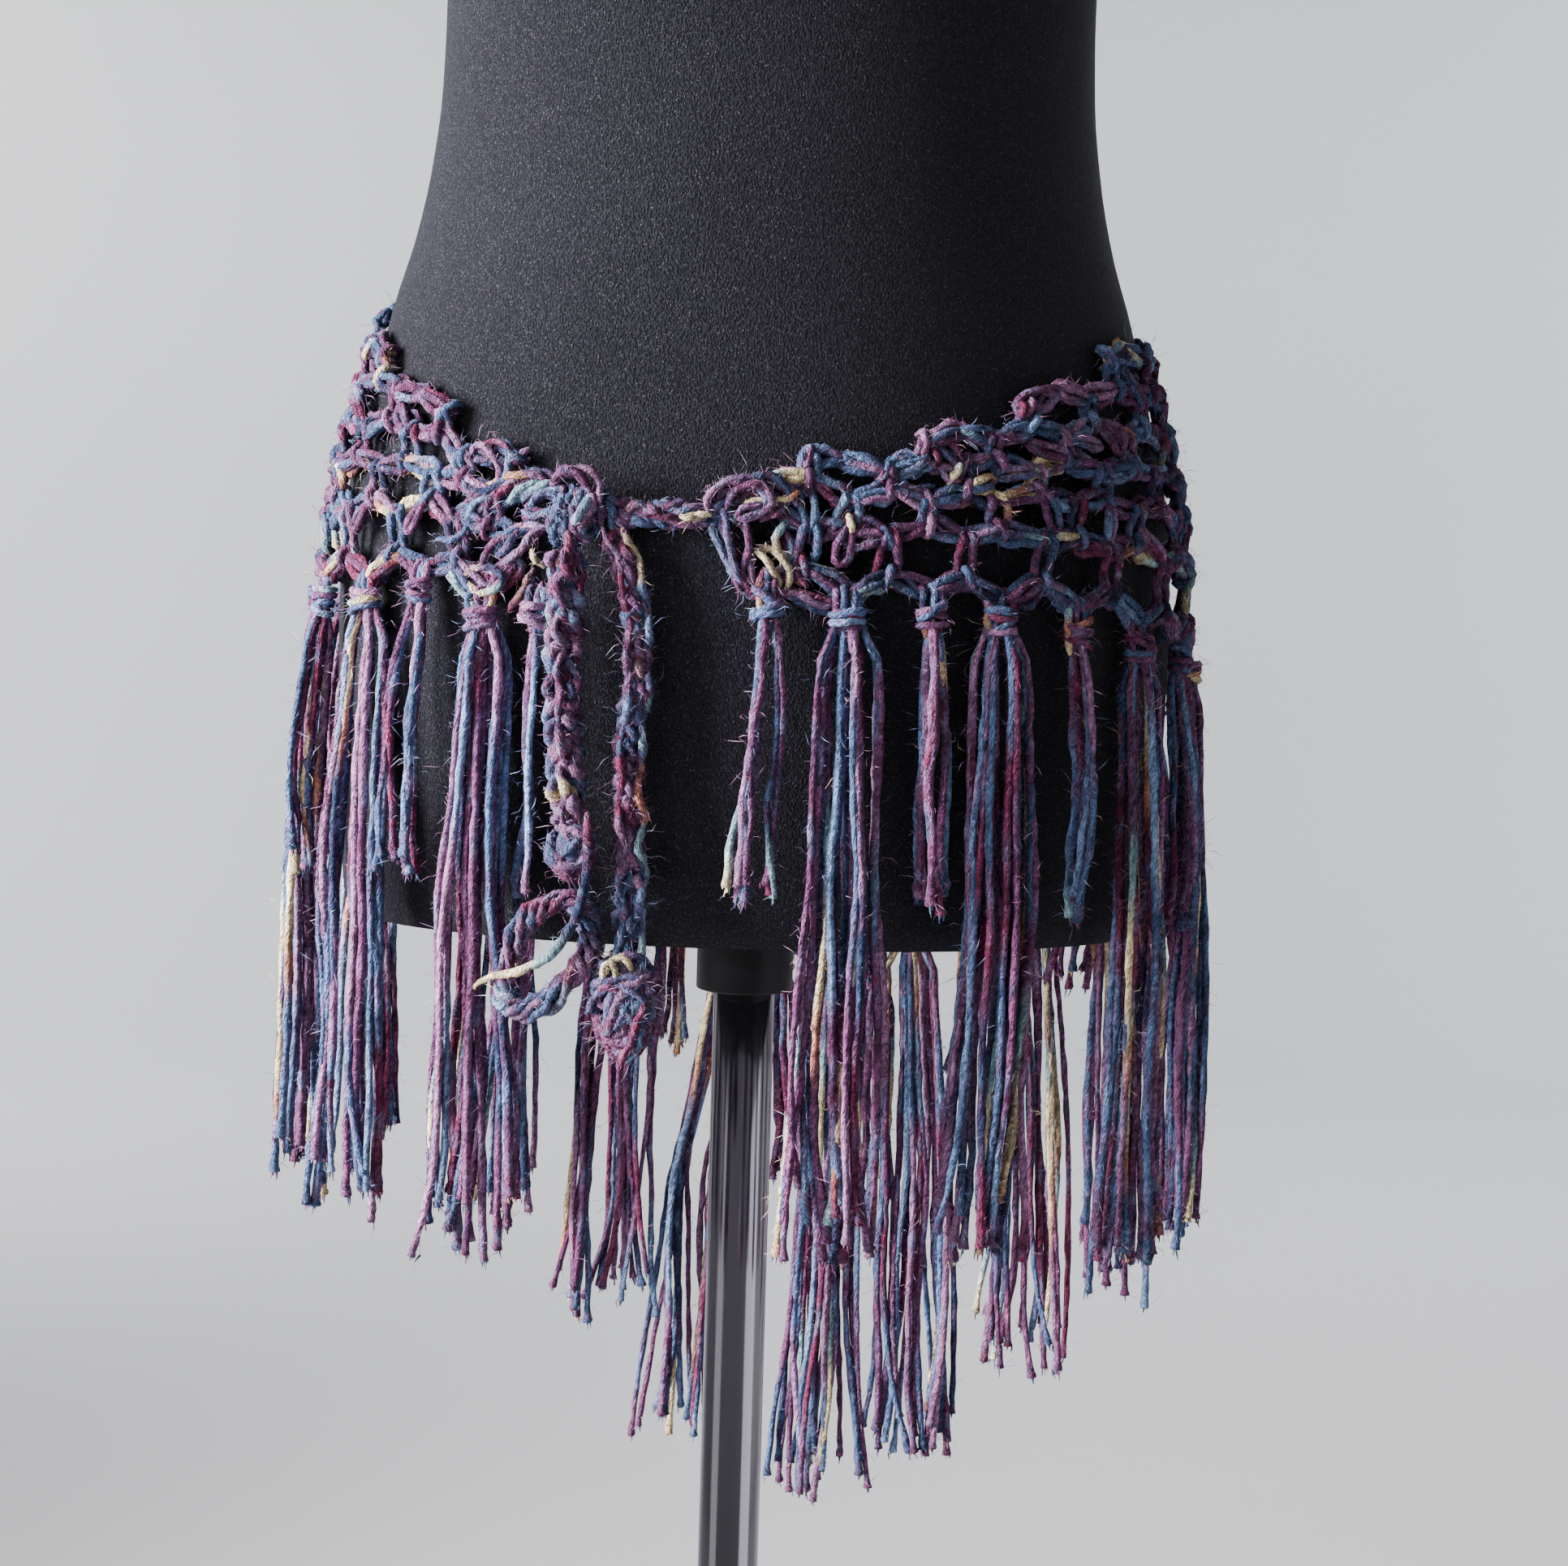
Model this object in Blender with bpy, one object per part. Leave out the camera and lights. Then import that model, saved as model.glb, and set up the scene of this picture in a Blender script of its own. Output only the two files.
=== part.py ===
# Crocheted hip belt with a tassel fringe, tied at the front on a limbless dress form.
# Units: metres in the scene, millimetres in the constants. +Z up, front faces -Y.
import math
import bpy
import bmesh
import numpy as np
from mathutils import Vector

# ---------------------------------------------------------------- driving dimensions (mm)
WAIST_Z = 1065.0                # height of the waist above the floor
RIM_Z = 700.0                   # underside of the dress form
FORM_POWER = 2.15               # superellipse power of the form's sections
FORM_SIDES = 36
POLE_R = 12.7                   # chrome pole, 1 inch
COLLAR_R, COLLAR_H = 20.0, 31.0
BASE_R, BASE_H = 175.0, 9.0
HUB_R, HUB_H = 27.0, 24.0
SEAM = 0.3                      # air between touching parts

# dress form sections: height from the waist, half width, depth forward, depth back
FORM_COLS = ("z", "half", "front", "back")
FORM = np.array([
    (-365, 163.0, 104, 112), (-362, 165.0, 105.5, 113.5), (-330, 167.0, 109, 119),
    (-290, 168.5, 112, 124), (-250, 169.0, 113, 126), (-200, 166.5, 113, 124),
    (-160, 158.0, 111, 117), (-121, 148.5, 107.5, 109), (-95, 140.5, 104.5, 104),
    (-68, 134.8, 101.5, 97), (-35, 131.0, 97.5, 91), (0, 130.0, 95, 87),
    (60, 133.5, 99, 88), (110, 141, 110, 92), (160, 150, 122, 96),
    (205, 157, 126, 99), (250, 160, 119, 100), (310, 165, 98, 96),
    (350, 167, 80, 86), (380, 152, 66, 74), (402, 118, 58, 66),
    (422, 78, 54, 60), (440, 57, 53, 57), (484, 53, 51, 54),
], float)

# net: rows from the top; half spans of each row in cells, counted from the belt's centre back
ROW_SPAN_R = (8.5, 10.0, 11.5, 13.0, 14.5, 14.0, 5.5, 4.0, 3.5, 3.0, 2.5, 2.0, 1.5, 1.0, 0.5)
ROW_SPAN_L = (8.5, 10.0, 11.5, 13.0, 14.5, 14.0, 5.5, 4.0, 3.5, 3.0, 2.5, 2.0, 1.5, 1.0, 0.5)
LEVEL_ROW = 6                   # row line along the lower edge of the front and sides
CELL_SLANT = 0.15               # how far a cell's top and foot points leave the row line
FOOT_ROW = 1.0                  # how much taller rows get towards the lower edge
BACK_ROW_H = 20.3               # row height in the back triangle
BAR_HALF = 3.2                  # half width of a crocheted bar
BAR_HIGH, BAR_LOW = 5.2, 3.4    # wall thickness at a bar's ridge and at a gap's rim
APEX_ARC = 414.0                # centre back of the belt, arc from the form's centre front
COLUMN_COLS = ("column", "arc")
COLUMNS_R = np.array([(0.0, 0.0), (8.5, 266.0), (9.5, 297.0), (10.5, 328.0), (11.5, 353.0),
                      (12.5, 381.5), (13.0, 395.0), (13.5, 408.0), (14.0, 416.5), (14.5, 423.0)])
COLUMNS_L = np.array([(0.0, 0.0), (8.5, 268.0), (9.5, 303.0), (10.5, 337.0), (11.5, 365.0),
                      (12.5, 391.0), (13.0, 401.0), (13.5, 409.5), (14.0, 416.5), (14.5, 423.0)])
# distance from centre back (mm): height of the level row line, row height above it
EDGE_COLS = ("arc", "level_z", "row_h")
EDGE_R = np.array([(0, -217, 16.7), (60, -219, 16.9), (107, -226, 17.1), (135, -233, 17.2),
                   (177, -240, 17.1), (210, -239, 16.0), (251, -233, 14.6), (291, -227, 12.8),
                   (330, -225, 11.4), (352, -224.5, 10.5), (381, -228, 11.0), (408, -225, 12.0),
                   (423, -226, 12.0)], float)
EDGE_L = np.array([(0, -217, 16.7), (60, -219, 16.9), (107, -226, 17.1), (135, -233, 17.2),
                   (177, -240, 17.1), (210, -240, 16.0), (251, -236, 15.0), (303, -236, 14.6),
                   (338, -234.5, 13.8), (365, -229.5, 11.4), (391, -237, 11.2), (410, -234, 11.8),
                   (423, -232, 12.5)], float)
BELT_TILT = 8.0                 # the belt sits this much lower on its +X side
FILLED_CELLS = ((4, 13.0), (4, 14.0))   # packed cells at the +X front end: row, column

# tassels of one half: column, row line (offset by +-slant), long or short
TASSEL_COLS = ("column", "line", "side", "long")
TASSELS = ((13.5, 6, 1, 0), (12.5, 6, 1, 1), (11.5, 6, 1, 0), (10.5, 6, 1, 1),
           (9.5, 6, 1, 0), (8.5, 6, 1, 1), (7.5, 6, 1, 0), (6.5, 6, 1, 1), (5.0, 7, 1, 0),
           (4.0, 8, -1, 1), (3.5, 9, -1, 0), (2.5, 11, -1, 1), (2.0, 12, -1, 0),
           (1.0, 14, -1, 1), (0.5, 15, -1, 0), (0.0, 15, 1, 1))
LONG, LONG_BACK, SHORT = 223.0, 242.0, 98.0        # strand lengths below the head
LONG_N, SHORT_N = 9, 5          # strands per tassel
HEAD = ((0.0, 3.4), (3.0, 5.6), (8.0, 5.9), (11.5, 5.2))      # depth, radius


def hash1(*k):
    v = math.sin(sum((i + 1) * 12.9898 * float(x) for i, x in enumerate(k)) + 4.1) * 43758.5453
    return v - math.floor(v)


# ---------------------------------------------------------------- form surface
def form_point(theta, z, off=0.0, hang=False):
    """Point on the form at parameter theta (0 front, + towards +X), z above the floor, mm."""
    h = z - WAIST_Z
    if hang:
        h = max(h, -250.0)
    a = np.interp(h, FORM[:, 0], FORM[:, 1]) + off
    bf = np.interp(h, FORM[:, 0], FORM[:, 2]) + off
    bb = np.interp(h, FORM[:, 0], FORM[:, 3]) + off
    s, c = math.sin(theta), math.cos(theta)
    k = 2.0 / FORM_POWER
    b = bf if c > 0 else bb
    return (math.copysign(abs(s) ** k, s) * a, -math.copysign(abs(c) ** k, c) * b, z)


_T = np.linspace(-math.pi, 3 * math.pi, 2401)
_P = np.array([form_point(t, 880.0) for t in _T])
_S = np.concatenate([[0], np.cumsum(np.linalg.norm(np.diff(_P, axis=0), axis=1))])
_S -= np.interp(0.0, _T, _S)
GIRTH = float(np.interp(2 * math.pi, _T, _S))


def theta_at(arc):
    while arc < -GIRTH / 2:
        arc += GIRTH
    while arc > 1.49 * GIRTH:
        arc -= GIRTH
    return float(np.interp(arc, _S, _T))


def at(arc, z, off):
    """Arc from centre front, height from the waist, distance off the form -> metres."""
    x, y, zz = form_point(theta_at(arc), WAIST_Z + z, off, hang=True)
    return Vector((x, y, zz)) * 0.001


# ---------------------------------------------------------------- small helpers
def material(name, rgb, rough, metal=0.0):
    m = bpy.data.materials.new(name)
    m.use_nodes = True
    b = m.node_tree.nodes["Principled BSDF"]
    b.inputs["Base Color"].default_value = (*rgb, 1.0)
    b.inputs["Roughness"].default_value = rough
    b.inputs["Metallic"].default_value = metal
    m.diffuse_color = (*rgb, 1.0)
    return m


def make(name, verts, faces, mat, smooth=True):
    me = bpy.data.meshes.new(name)
    me.from_pydata([tuple(v) for v in verts], [], faces)
    bm = bmesh.new()
    bm.from_mesh(me)
    bmesh.ops.recalc_face_normals(bm, faces=bm.faces)
    bm.to_mesh(me)
    bm.free()
    if smooth:
        me.polygons.foreach_set("use_smooth", [True] * len(me.polygons))
    me.materials.append(mat)
    ob = bpy.data.objects.new(name, me)
    bpy.context.scene.collection.objects.link(ob)
    return ob


def rings_to_faces(n_rings, sides, caps=True):
    f = []
    for r in range(n_rings - 1):
        for i in range(sides):
            j = (i + 1) % sides
            f.append((r * sides + i, r * sides + j, (r + 1) * sides + j, (r + 1) * sides + i))
    if caps:
        f.append(tuple(range(sides))[::-1])
        f.append(tuple((n_rings - 1) * sides + i for i in range(sides)))
    return f


def lathe(name, profile, sides, mat):
    """Turned solid about Z from (z, radius) pairs in mm."""
    v = [(r * math.cos(2 * math.pi * i / sides) / 1000, r * math.sin(2 * math.pi * i / sides) / 1000,
          z / 1000) for z, r in profile for i in range(sides)]
    return make(name, v, rings_to_faces(len(profile), sides), mat)


def route(points, n):
    """Points spaced evenly along a smooth curve through the route's own points."""
    p = np.array([tuple(q) for q in points])
    p = np.vstack([2 * p[0] - p[1], p, 2 * p[-1] - p[-2]])
    out = []
    for i in range(1, len(p) - 2):
        for t in np.linspace(0, 1, 24, endpoint=False):
            a, b, c, d = p[i - 1:i + 3]
            out.append(0.5 * (2 * b + (c - a) * t + (2 * a - 5 * b + 4 * c - d) * t * t
                              + (3 * b - a - 3 * c + d) * t ** 3))
    out.append(p[-2])
    out = np.array(out)
    s = np.concatenate([[0], np.cumsum(np.linalg.norm(np.diff(out, axis=0), axis=1))])
    e = np.linspace(0, s[-1], n)
    return [Vector([float(np.interp(x, s, out[:, k])) for k in range(3)]) for x in e]


def tube(name, points, radius, mat, res=2):
    cu = bpy.data.curves.new(name, "CURVE")
    cu.dimensions = "3D"
    sp = cu.splines.new("POLY")
    sp.points.add(len(points) - 1)
    for p, q in zip(sp.points, points):
        p.co = (*q, 1.0)
    cu.bevel_depth = radius / 1000
    cu.bevel_resolution = res
    cu.use_fill_caps = True
    cu.materials.append(mat)
    ob = bpy.data.objects.new(name, cu)
    bpy.context.scene.collection.objects.link(ob)
    return ob


def knot(name, centre, half, mat, seed, sides=10, rings=6):
    """Lumpy closed knot: half sizes across, up and out from the form, mm."""
    arc, z, off = centre
    v = []
    for r in range(1, rings):
        a = math.pi * r / rings
        for i in range(sides):
            b = 2 * math.pi * i / sides
            k = 1.0 - 0.10 * hash1(seed, r, i)
            v.append(at(arc + half[0] * math.sin(a) * math.cos(b) * k,
                        z + half[1] * math.cos(a), off + half[2] * math.sin(a) * math.sin(b) * k))
    f = rings_to_faces(rings - 1, sides, caps=False)
    v += [at(arc, z + half[1], off), at(arc, z - half[1], off)]
    top, low, base = len(v) - 2, len(v) - 1, (rings - 2) * sides
    for i in range(sides):
        j = (i + 1) % sides
        f.append((top, j, i))
        f.append((low, base + i, base + j))
    return make(name, v, f, mat)


# ---------------------------------------------------------------- net lattice
def column_arc(col):
    table = COLUMNS_R if col > 0 else COLUMNS_L
    return math.copysign(np.interp(abs(col), table[:, 0], table[:, 1]), col)


def flat(col, line, dr):
    """Flat belt coordinates (arc from centre back, height from the waist) of a lattice node."""
    u = column_arc(col)
    r = line + dr
    edge = EDGE_R if u > 0 else EDGE_L
    zb = np.interp(abs(u), edge[:, 0], edge[:, 1])
    h = np.interp(abs(u), edge[:, 0], edge[:, 2])
    n = LEVEL_ROW - r
    z = zb + h * (n + FOOT_ROW * (1 - math.exp(-1.5 * n))) if n > 0 else zb + BACK_ROW_H * n
    theta = theta_at(APEX_ARC - u)
    return np.array([u, z - BELT_TILT * math.sin(theta)])


def clearance(u, z):
    down = min(max((-120.0 - z) / 120.0, 0.0), 1.0)
    front = min(max((abs(u) - 320.0) / 90.0, 0.0), 1.0)
    return 0.75 + 2.6 * down * down * (3 - 2 * down) * (1 - front)


def belt(u, z, off):
    return at(APEX_ARC - u, z, off + clearance(u, z))


def cell_keys(k, c):
    t = CELL_SLANT
    return [(c, k, -t), (c + .5, k, t), (c + .5, k + 1, -t), (c, k + 1, t),
            (c - .5, k + 1, -t), (c - .5, k, t)]


def inset(poly, d):
    """Move each side of a convex polygon inwards by d and intersect neighbours."""
    n = len(poly)
    area = sum(poly[i][0] * poly[(i + 1) % n][1] - poly[(i + 1) % n][0] * poly[i][1]
               for i in range(n))
    sgn = 1.0 if area > 0 else -1.0
    lines = []
    for i in range(n):
        p, q = poly[i], poly[(i + 1) % n]
        e = (q - p) / np.linalg.norm(q - p)
        nrm = np.array([-e[1], e[0]]) * sgn
        lines.append((p + nrm * d, e))
    out = []
    for i in range(n):
        (p, e), (q, g) = lines[i - 1], lines[i]
        m = np.array([[e[0], -g[0]], [e[1], -g[1]]])
        out.append(p + e * np.linalg.solve(m, q - p)[0])
    return out


CELLS = [(k, -lo + .5 + i) for k, (lo, hi) in enumerate(zip(ROW_SPAN_L, ROW_SPAN_R))
         for i in range(int(round(lo + hi)))]
NODE = {}
for _k, _c in CELLS:
    for _q in cell_keys(_k, _c):
        NODE.setdefault(_q, flat(*_q))


def boundary(cells):
    """Directed outer edges of a set of cells, and each border node pushed half a bar out."""
    count = {}
    for k, c in cells:
        q = cell_keys(k, c)
        for i in range(6):
            count[(q[i], q[(i + 1) % 6])] = 1
    edges = [e for e in count if (e[1], e[0]) not in count]
    push = {}
    for a, b in edges:
        d = NODE[b] - NODE[a]
        d = d / np.linalg.norm(d)
        nrm = np.array([-d[1], d[0]])
        for q in (a, b):
            push.setdefault(q, []).append(nrm)
    return edges, push


ALL_EDGES, ALL_PUSH = boundary(CELLS)
BORDER = {}
for _q, _n in ALL_PUSH.items():
    _m = _n[0] + _n[1]
    _m = _m / max(np.linalg.norm(_m), 1e-6)
    BORDER[_q] = NODE[_q] + _m * BAR_HALF / max(float(_m @ _n[0]), 0.75)


def net_half(name, cells, shift, mat):
    """One half of the net: ridged outside, plain inside, one cut-through gap per cell."""
    verts, index, faces = [], {}, []

    def vid(key, side):
        if (key, side) not in index:
            u, z = BORDER.get(key, NODE[key])
            index[(key, side)] = len(verts)
            verts.append(belt(u + shift, z, BAR_HIGH if side else 0.0))
        return index[(key, side)]

    for k, c in cells:
        q = cell_keys(k, c)
        solid = c > 0 and (k, c) in FILLED_CELLS
        hole = inset([NODE[x] for x in q], BAR_HALF)
        o = [vid(x, 1) for x in q]
        w = [vid(x, 0) for x in q]
        n0 = len(verts)
        for u, z in hole:
            verts.append(belt(u + shift, z, BAR_HIGH + 1.5 if solid else BAR_LOW))
        if not solid:
            for u, z in hole:
                verts.append(belt(u + shift, z, 0.0))
        for i in range(6):
            j = (i + 1) % 6
            faces.append((o[i], o[j], n0 + j, n0 + i))
            if not solid:
                faces.append((w[j], w[i], n0 + 6 + i, n0 + 6 + j))
                faces.append((n0 + i, n0 + j, n0 + 6 + j, n0 + 6 + i))
        if solid:
            u, z = np.mean(hole, axis=0)
            verts.append(belt(u + shift, z, BAR_HIGH + 3.0))
            top = len(verts) - 1
            for i in range(6):
                faces.append((n0 + i, n0 + (i + 1) % 6, top))
            faces.append(tuple(w[::-1]))
    edges, _ = boundary(cells)
    for a, b in edges:
        faces.append((vid(a, 1), vid(b, 1), vid(b, 0), vid(a, 0)))
    return make(name, verts, faces, mat)


# ---------------------------------------------------------------- tassels
def edge_low(u, reach):
    """Lowest point of the net's border within reach of arc u, for hanging a tassel."""
    low = []
    for a, b in ALL_EDGES:
        p, q = BORDER[a], BORDER[b]
        for t in np.linspace(0, 1, 9):
            m = p + (q - p) * t
            if abs(m[0] - u) < reach:
                low.append((m[0], m[1]))
    return low


def tassel(name, col, line, dirn, is_long, mat):
    key = (col, line, CELL_SLANT * dirn)
    sgn = 1.0 if col > 0 else (-1.0 if col < 0 else 0.0)
    base = BORDER[key]
    u0 = base[0] + (1.6 * sgn if dirn < 0 else 0.0)
    near = [z for u, z in edge_low(u0, HEAD[0][1] + 0.6) if abs(z - base[1]) < 12.0]
    z0 = min(near) - SEAM - 0.2
    n = LONG_N if is_long else SHORT_N
    sides = LONG_N if is_long else 6
    slope = dirn < 0 or (line > 7 and col == 0)
    length = (LONG_BACK if slope else LONG) if is_long else SHORT
    hidden = (col == -13.5)
    drift = 0.0
    if slope and abs(col) < 0.9:
        wt, wr = (5.5, 8.6) if is_long else (4.8, 6.5)
    elif slope:
        wt, wr, drift = (9.5, 8.6, 4.0 * sgn) if is_long else (5.5, 6.8, -3.0 * sgn)
    else:
        wt, wr = (10.5, 7.6) if is_long else (6.6, 6.2)
    if hidden:
        wt, wr = 2.9, 2.9
    off0 = 6.2 if hidden else 8.0
    lean = 0.9 if hidden else 6.5
    z1 = -HEAD[-1][0]

    def pt(dt, dz, do):
        return belt_hang(u0 + dt, z0 + dz, off0 + do)

    def belt_hang(u, z, off):
        x = at(APEX_ARC - u, z, off)
        return x

    verts, faces = [], []
    phase = math.pi / sides
    for dz, r in HEAD:
        for i in range(sides):
            a = 2 * math.pi * i / sides + phase
            verts.append(pt(r * math.cos(a), -dz, r * 0.92 * math.sin(a)))
    faces += rings_to_faces(len(HEAD), sides, caps=False)
    faces.append(tuple(range(sides)))
    last = (len(HEAD) - 1) * sides
    verts.append(pt(0, z1, 0))
    mid = len(verts) - 1
    rr = HEAD[-1][1]
    for i in range(sides):
        j = (i + 1) % sides
        v0, v1 = last + i, last + j
        if i >= n:
            faces.append((mid, v0, v1))
            continue
        a0 = 2 * math.pi * i / sides + phase
        a1 = a0 + 2 * math.pi / sides
        am = (a0 + a1) / 2
        hw = (0.36 if sides == 9 else 0.30) * (a1 - a0)
        ring = len(verts)
        for r, a in ((1.9, am), (rr - 0.7, am - hw), (rr - 0.7, am + hw)):
            verts.append(pt(r * math.cos(a), z1, 0.92 * r * math.sin(a)))
        faces += [(mid, ring, ring + 1, v0), (v0, ring + 1, ring + 2, v1),
                  (v1, ring + 2, ring, mid)]
        h = hash1(col, line, i)
        total = length * (0.93 + 0.10 * h)
        prev = ring
        for s, f, thick in ((0.20, 0.86, 1.75), (0.60, 1.0, 1.9), (1.0, 0.94, 1.7)):
            w = am + 0.16 * (hash1(col, i, s * 7) - 0.5) * (1.0 if sides == 9 else 1.6)
            ct, cr = wt * f * math.cos(w) + drift * min(2 * s, 1.0), wr * f * math.sin(w) + lean * min(s * 2.2, 1.0)
            cur = len(verts)
            for q in range(3):
                b = am + math.pi + q * 2 * math.pi / 3
                verts.append(pt(ct + thick * math.cos(b), z1 - total * s,
                                cr + thick * math.sin(b)))
            for q in range(3):
                q2 = (q + 1) % 3
                faces.append((prev + q, prev + q2, cur + q2, cur + q))
            prev = cur
        faces.append((prev, prev + 1, prev + 2))
    return make(name, verts, faces, mat)


# ---------------------------------------------------------------- build
for ob in list(bpy.data.objects):
    bpy.data.objects.remove(ob, do_unlink=True)

JERSEY = material("jersey_black", (0.018, 0.019, 0.024), 0.75)
CHROME = material("chrome", (0.80, 0.80, 0.82), 0.12, 1.0)
BLACK = material("collar_black", (0.012, 0.012, 0.013), 0.45)
PLUM = material("yarn_plum", (0.115, 0.060, 0.125), 0.9)
DENIM = material("yarn_denim", (0.075, 0.100, 0.190), 0.9)
WINE = material("yarn_wine", (0.110, 0.030, 0.055), 0.9)

# dress form
_sides = FORM_SIDES
_v = []
for _h, _a, _bf, _bb in FORM:
    for _i in range(_sides):
        _x, _y, _z = form_point(2 * math.pi * _i / _sides, WAIST_Z + _h)
        _v.append((_x / 1000, _y / 1000, _z / 1000))
make("dress_form", _v, rings_to_faces(len(FORM), _sides), JERSEY)

# stand
lathe("stand_collar", [(RIM_Z - COLLAR_H, COLLAR_R - 1.2), (RIM_Z - COLLAR_H + 1.2, COLLAR_R),
                       (RIM_Z - SEAM, COLLAR_R)], 24, BLACK)
lathe("stand_pole", [(BASE_H + HUB_H + SEAM, POLE_R), (RIM_Z - COLLAR_H - SEAM, POLE_R)], 24, CHROME)
lathe("stand_base", [(0, BASE_R - 1.5), (1.5, BASE_R), (BASE_H - 3.5, BASE_R), (BASE_H - 1.0, BASE_R - 4),
                     (BASE_H + 1.0, HUB_R + 4), (BASE_H + 3.0, HUB_R), (BASE_H + HUB_H - 3, POLE_R + 6),
                     (BASE_H + HUB_H, POLE_R + 3)], 40, CHROME)

# belt net, in two halves that meet at the belt's centre back
LEFT_CELLS = [(k, c) for k, c in CELLS if c < 0 or c == 0]
RIGHT_CELLS = [(k, c) for k, c in CELLS if c > 0]
net_half("net_left", LEFT_CELLS, -0.35, PLUM)
net_half("net_right", RIGHT_CELLS, 0.35, PLUM)

# fringe
_n = 0
for _col, _line, _dirn, _lng in TASSELS:
    for _sg in ((1, -1) if _col else (1,)):
        _mat = (PLUM, DENIM, WINE)[_n % 3]
        _nm = "tassel_%s%02d" % ("r" if _sg > 0 else "l", int(_col * 2)) if _col else "tassel_back"
        tassel(_nm, _col * _sg, _line, _dirn, _lng, _mat)
        _n += 1

# tie: bridge cord across the front gap, wrap, two tails, end knots and the loop
ROUTE_COLS = ("arc", "z", "off")
BRIDGE = ((-51.0, -203, 5.4), (-42, -205.5, 5.4), (-24, -206, 5.4), (-13.9, -204.5, 5.4))
tube("tie_bridge", route([at(*p) for p in BRIDGE], 6), 4.4, PLUM)
knot("tie_wrap", (-59.5, -208, 11.0), (8.2, 12.0, 5.0), DENIM, 3)
TAIL_L = ((-60.4, -220.4, 13.6), (-60.8, -250, 13.6), (-59.8, -290, 12.7), (-57.4, -318, 12.6))
tube("tie_tail_left", route([at(*p) for p in TAIL_L], 9), 6.6, DENIM)
TAIL_R = ((-47.2, -211.2, 6.6), (-45.6, -217.5, 6.8), (-39.6, -235, 7.2), (-37.6, -268, 8.0),
          (-39.6, -297, 8.4), (-37.6, -338, 9.2), (-37.6, -371, 10.0))
tube("tie_tail_right", route([at(*p) for p in TAIL_R], 14), 5.4, PLUM)
knot("tail_knot_left", (-56.4, -328.1, 12.8), (8.4, 9.6, 7.4), PLUM, 5)
knot("tail_knot_right", (-37.5, -386.5, 11.0), (12.0, 15.0, 9.0), DENIM, 7, 12, 7)

# loop of yarn hanging from the left tail's knot
LOOP_C, LOOP_HALF, LOOP_R, LOOP_SKEW = (-63.6, -362.9, 14.8), (12.4, 22.8), 2.9, 7.0
_v, _f, _n, _m = [], [], 16, 6
for _i in range(_n):
    _a = 2 * math.pi * _i / _n
    for _j in range(_m):
        _b = 2 * math.pi * _j / _m
        _r = LOOP_R * math.cos(_b)
        _v.append(at(LOOP_C[0] + (LOOP_HALF[0] + _r) * math.cos(_a) + LOOP_SKEW * math.sin(_a),
                     LOOP_C[1] + (LOOP_HALF[1] + _r) * math.sin(_a),
                     LOOP_C[2] + LOOP_R * math.sin(_b)))
for _i in range(_n):
    for _j in range(_m):
        _i2, _j2 = (_i + 1) % _n, (_j + 1) % _m
        _f.append((_i * _m + _j, _i2 * _m + _j, _i2 * _m + _j2, _i * _m + _j2))
make("tail_loop", _v, _f, DENIM)
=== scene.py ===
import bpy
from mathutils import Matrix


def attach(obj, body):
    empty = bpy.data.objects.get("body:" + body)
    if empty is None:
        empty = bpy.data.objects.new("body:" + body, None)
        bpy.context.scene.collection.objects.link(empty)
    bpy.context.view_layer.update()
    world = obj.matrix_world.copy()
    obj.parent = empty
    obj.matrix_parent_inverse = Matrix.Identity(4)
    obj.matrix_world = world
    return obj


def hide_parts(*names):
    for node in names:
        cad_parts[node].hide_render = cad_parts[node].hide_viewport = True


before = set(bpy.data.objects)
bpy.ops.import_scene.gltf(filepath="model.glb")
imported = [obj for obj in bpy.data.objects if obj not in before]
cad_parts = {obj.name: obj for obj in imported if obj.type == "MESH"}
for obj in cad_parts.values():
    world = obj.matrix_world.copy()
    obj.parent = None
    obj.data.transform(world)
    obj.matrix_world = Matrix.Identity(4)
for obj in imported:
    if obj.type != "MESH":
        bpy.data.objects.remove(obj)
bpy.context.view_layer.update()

import math

import bpy
import numpy as np
from bpy.props import FloatProperty, FloatVectorProperty, IntProperty, PointerProperty
from bpy.types import Operator, Panel, PropertyGroup
from mathutils import Matrix, Vector

bl_info = {
    "name": "Crocheted Hip Belt",
    "version": (1, 0, 0),
    "blender": (4, 5, 0),
    "location": "View3D > Sidebar > Hip Belt",
    "description": "Open mesh hip belt of variegated yarn with a tassel fringe, tied on a dress form",
    "category": "Object",
}

MM = 0.001
TURN = 2 * math.pi
ROUND = 6.28                    # about one turn, for random phases
SKEW = np.array([0.36, 0.48, 0.80])             # directions along which no strand lies for long
ASIDE = np.array([0.31, 0.79, 0.53])

# ------------------------------------------------------------------ sizes shared with the solids, mm
WAIST_Z = 1065.0
ARC_Z = 880.0                   # distances round the form are measured at this height
RIM_Z = 700.0
FORM_POWER = 2.15
POLE_R = 12.7
COLLAR_R, COLLAR_H = 20.0, 31.0
BASE_R, BASE_H = 175.0, 9.0
HUB_R, HUB_H = 27.0, 24.0
HANG_BELOW = -250.0             # cloth hangs straight down from this height of the form
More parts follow.
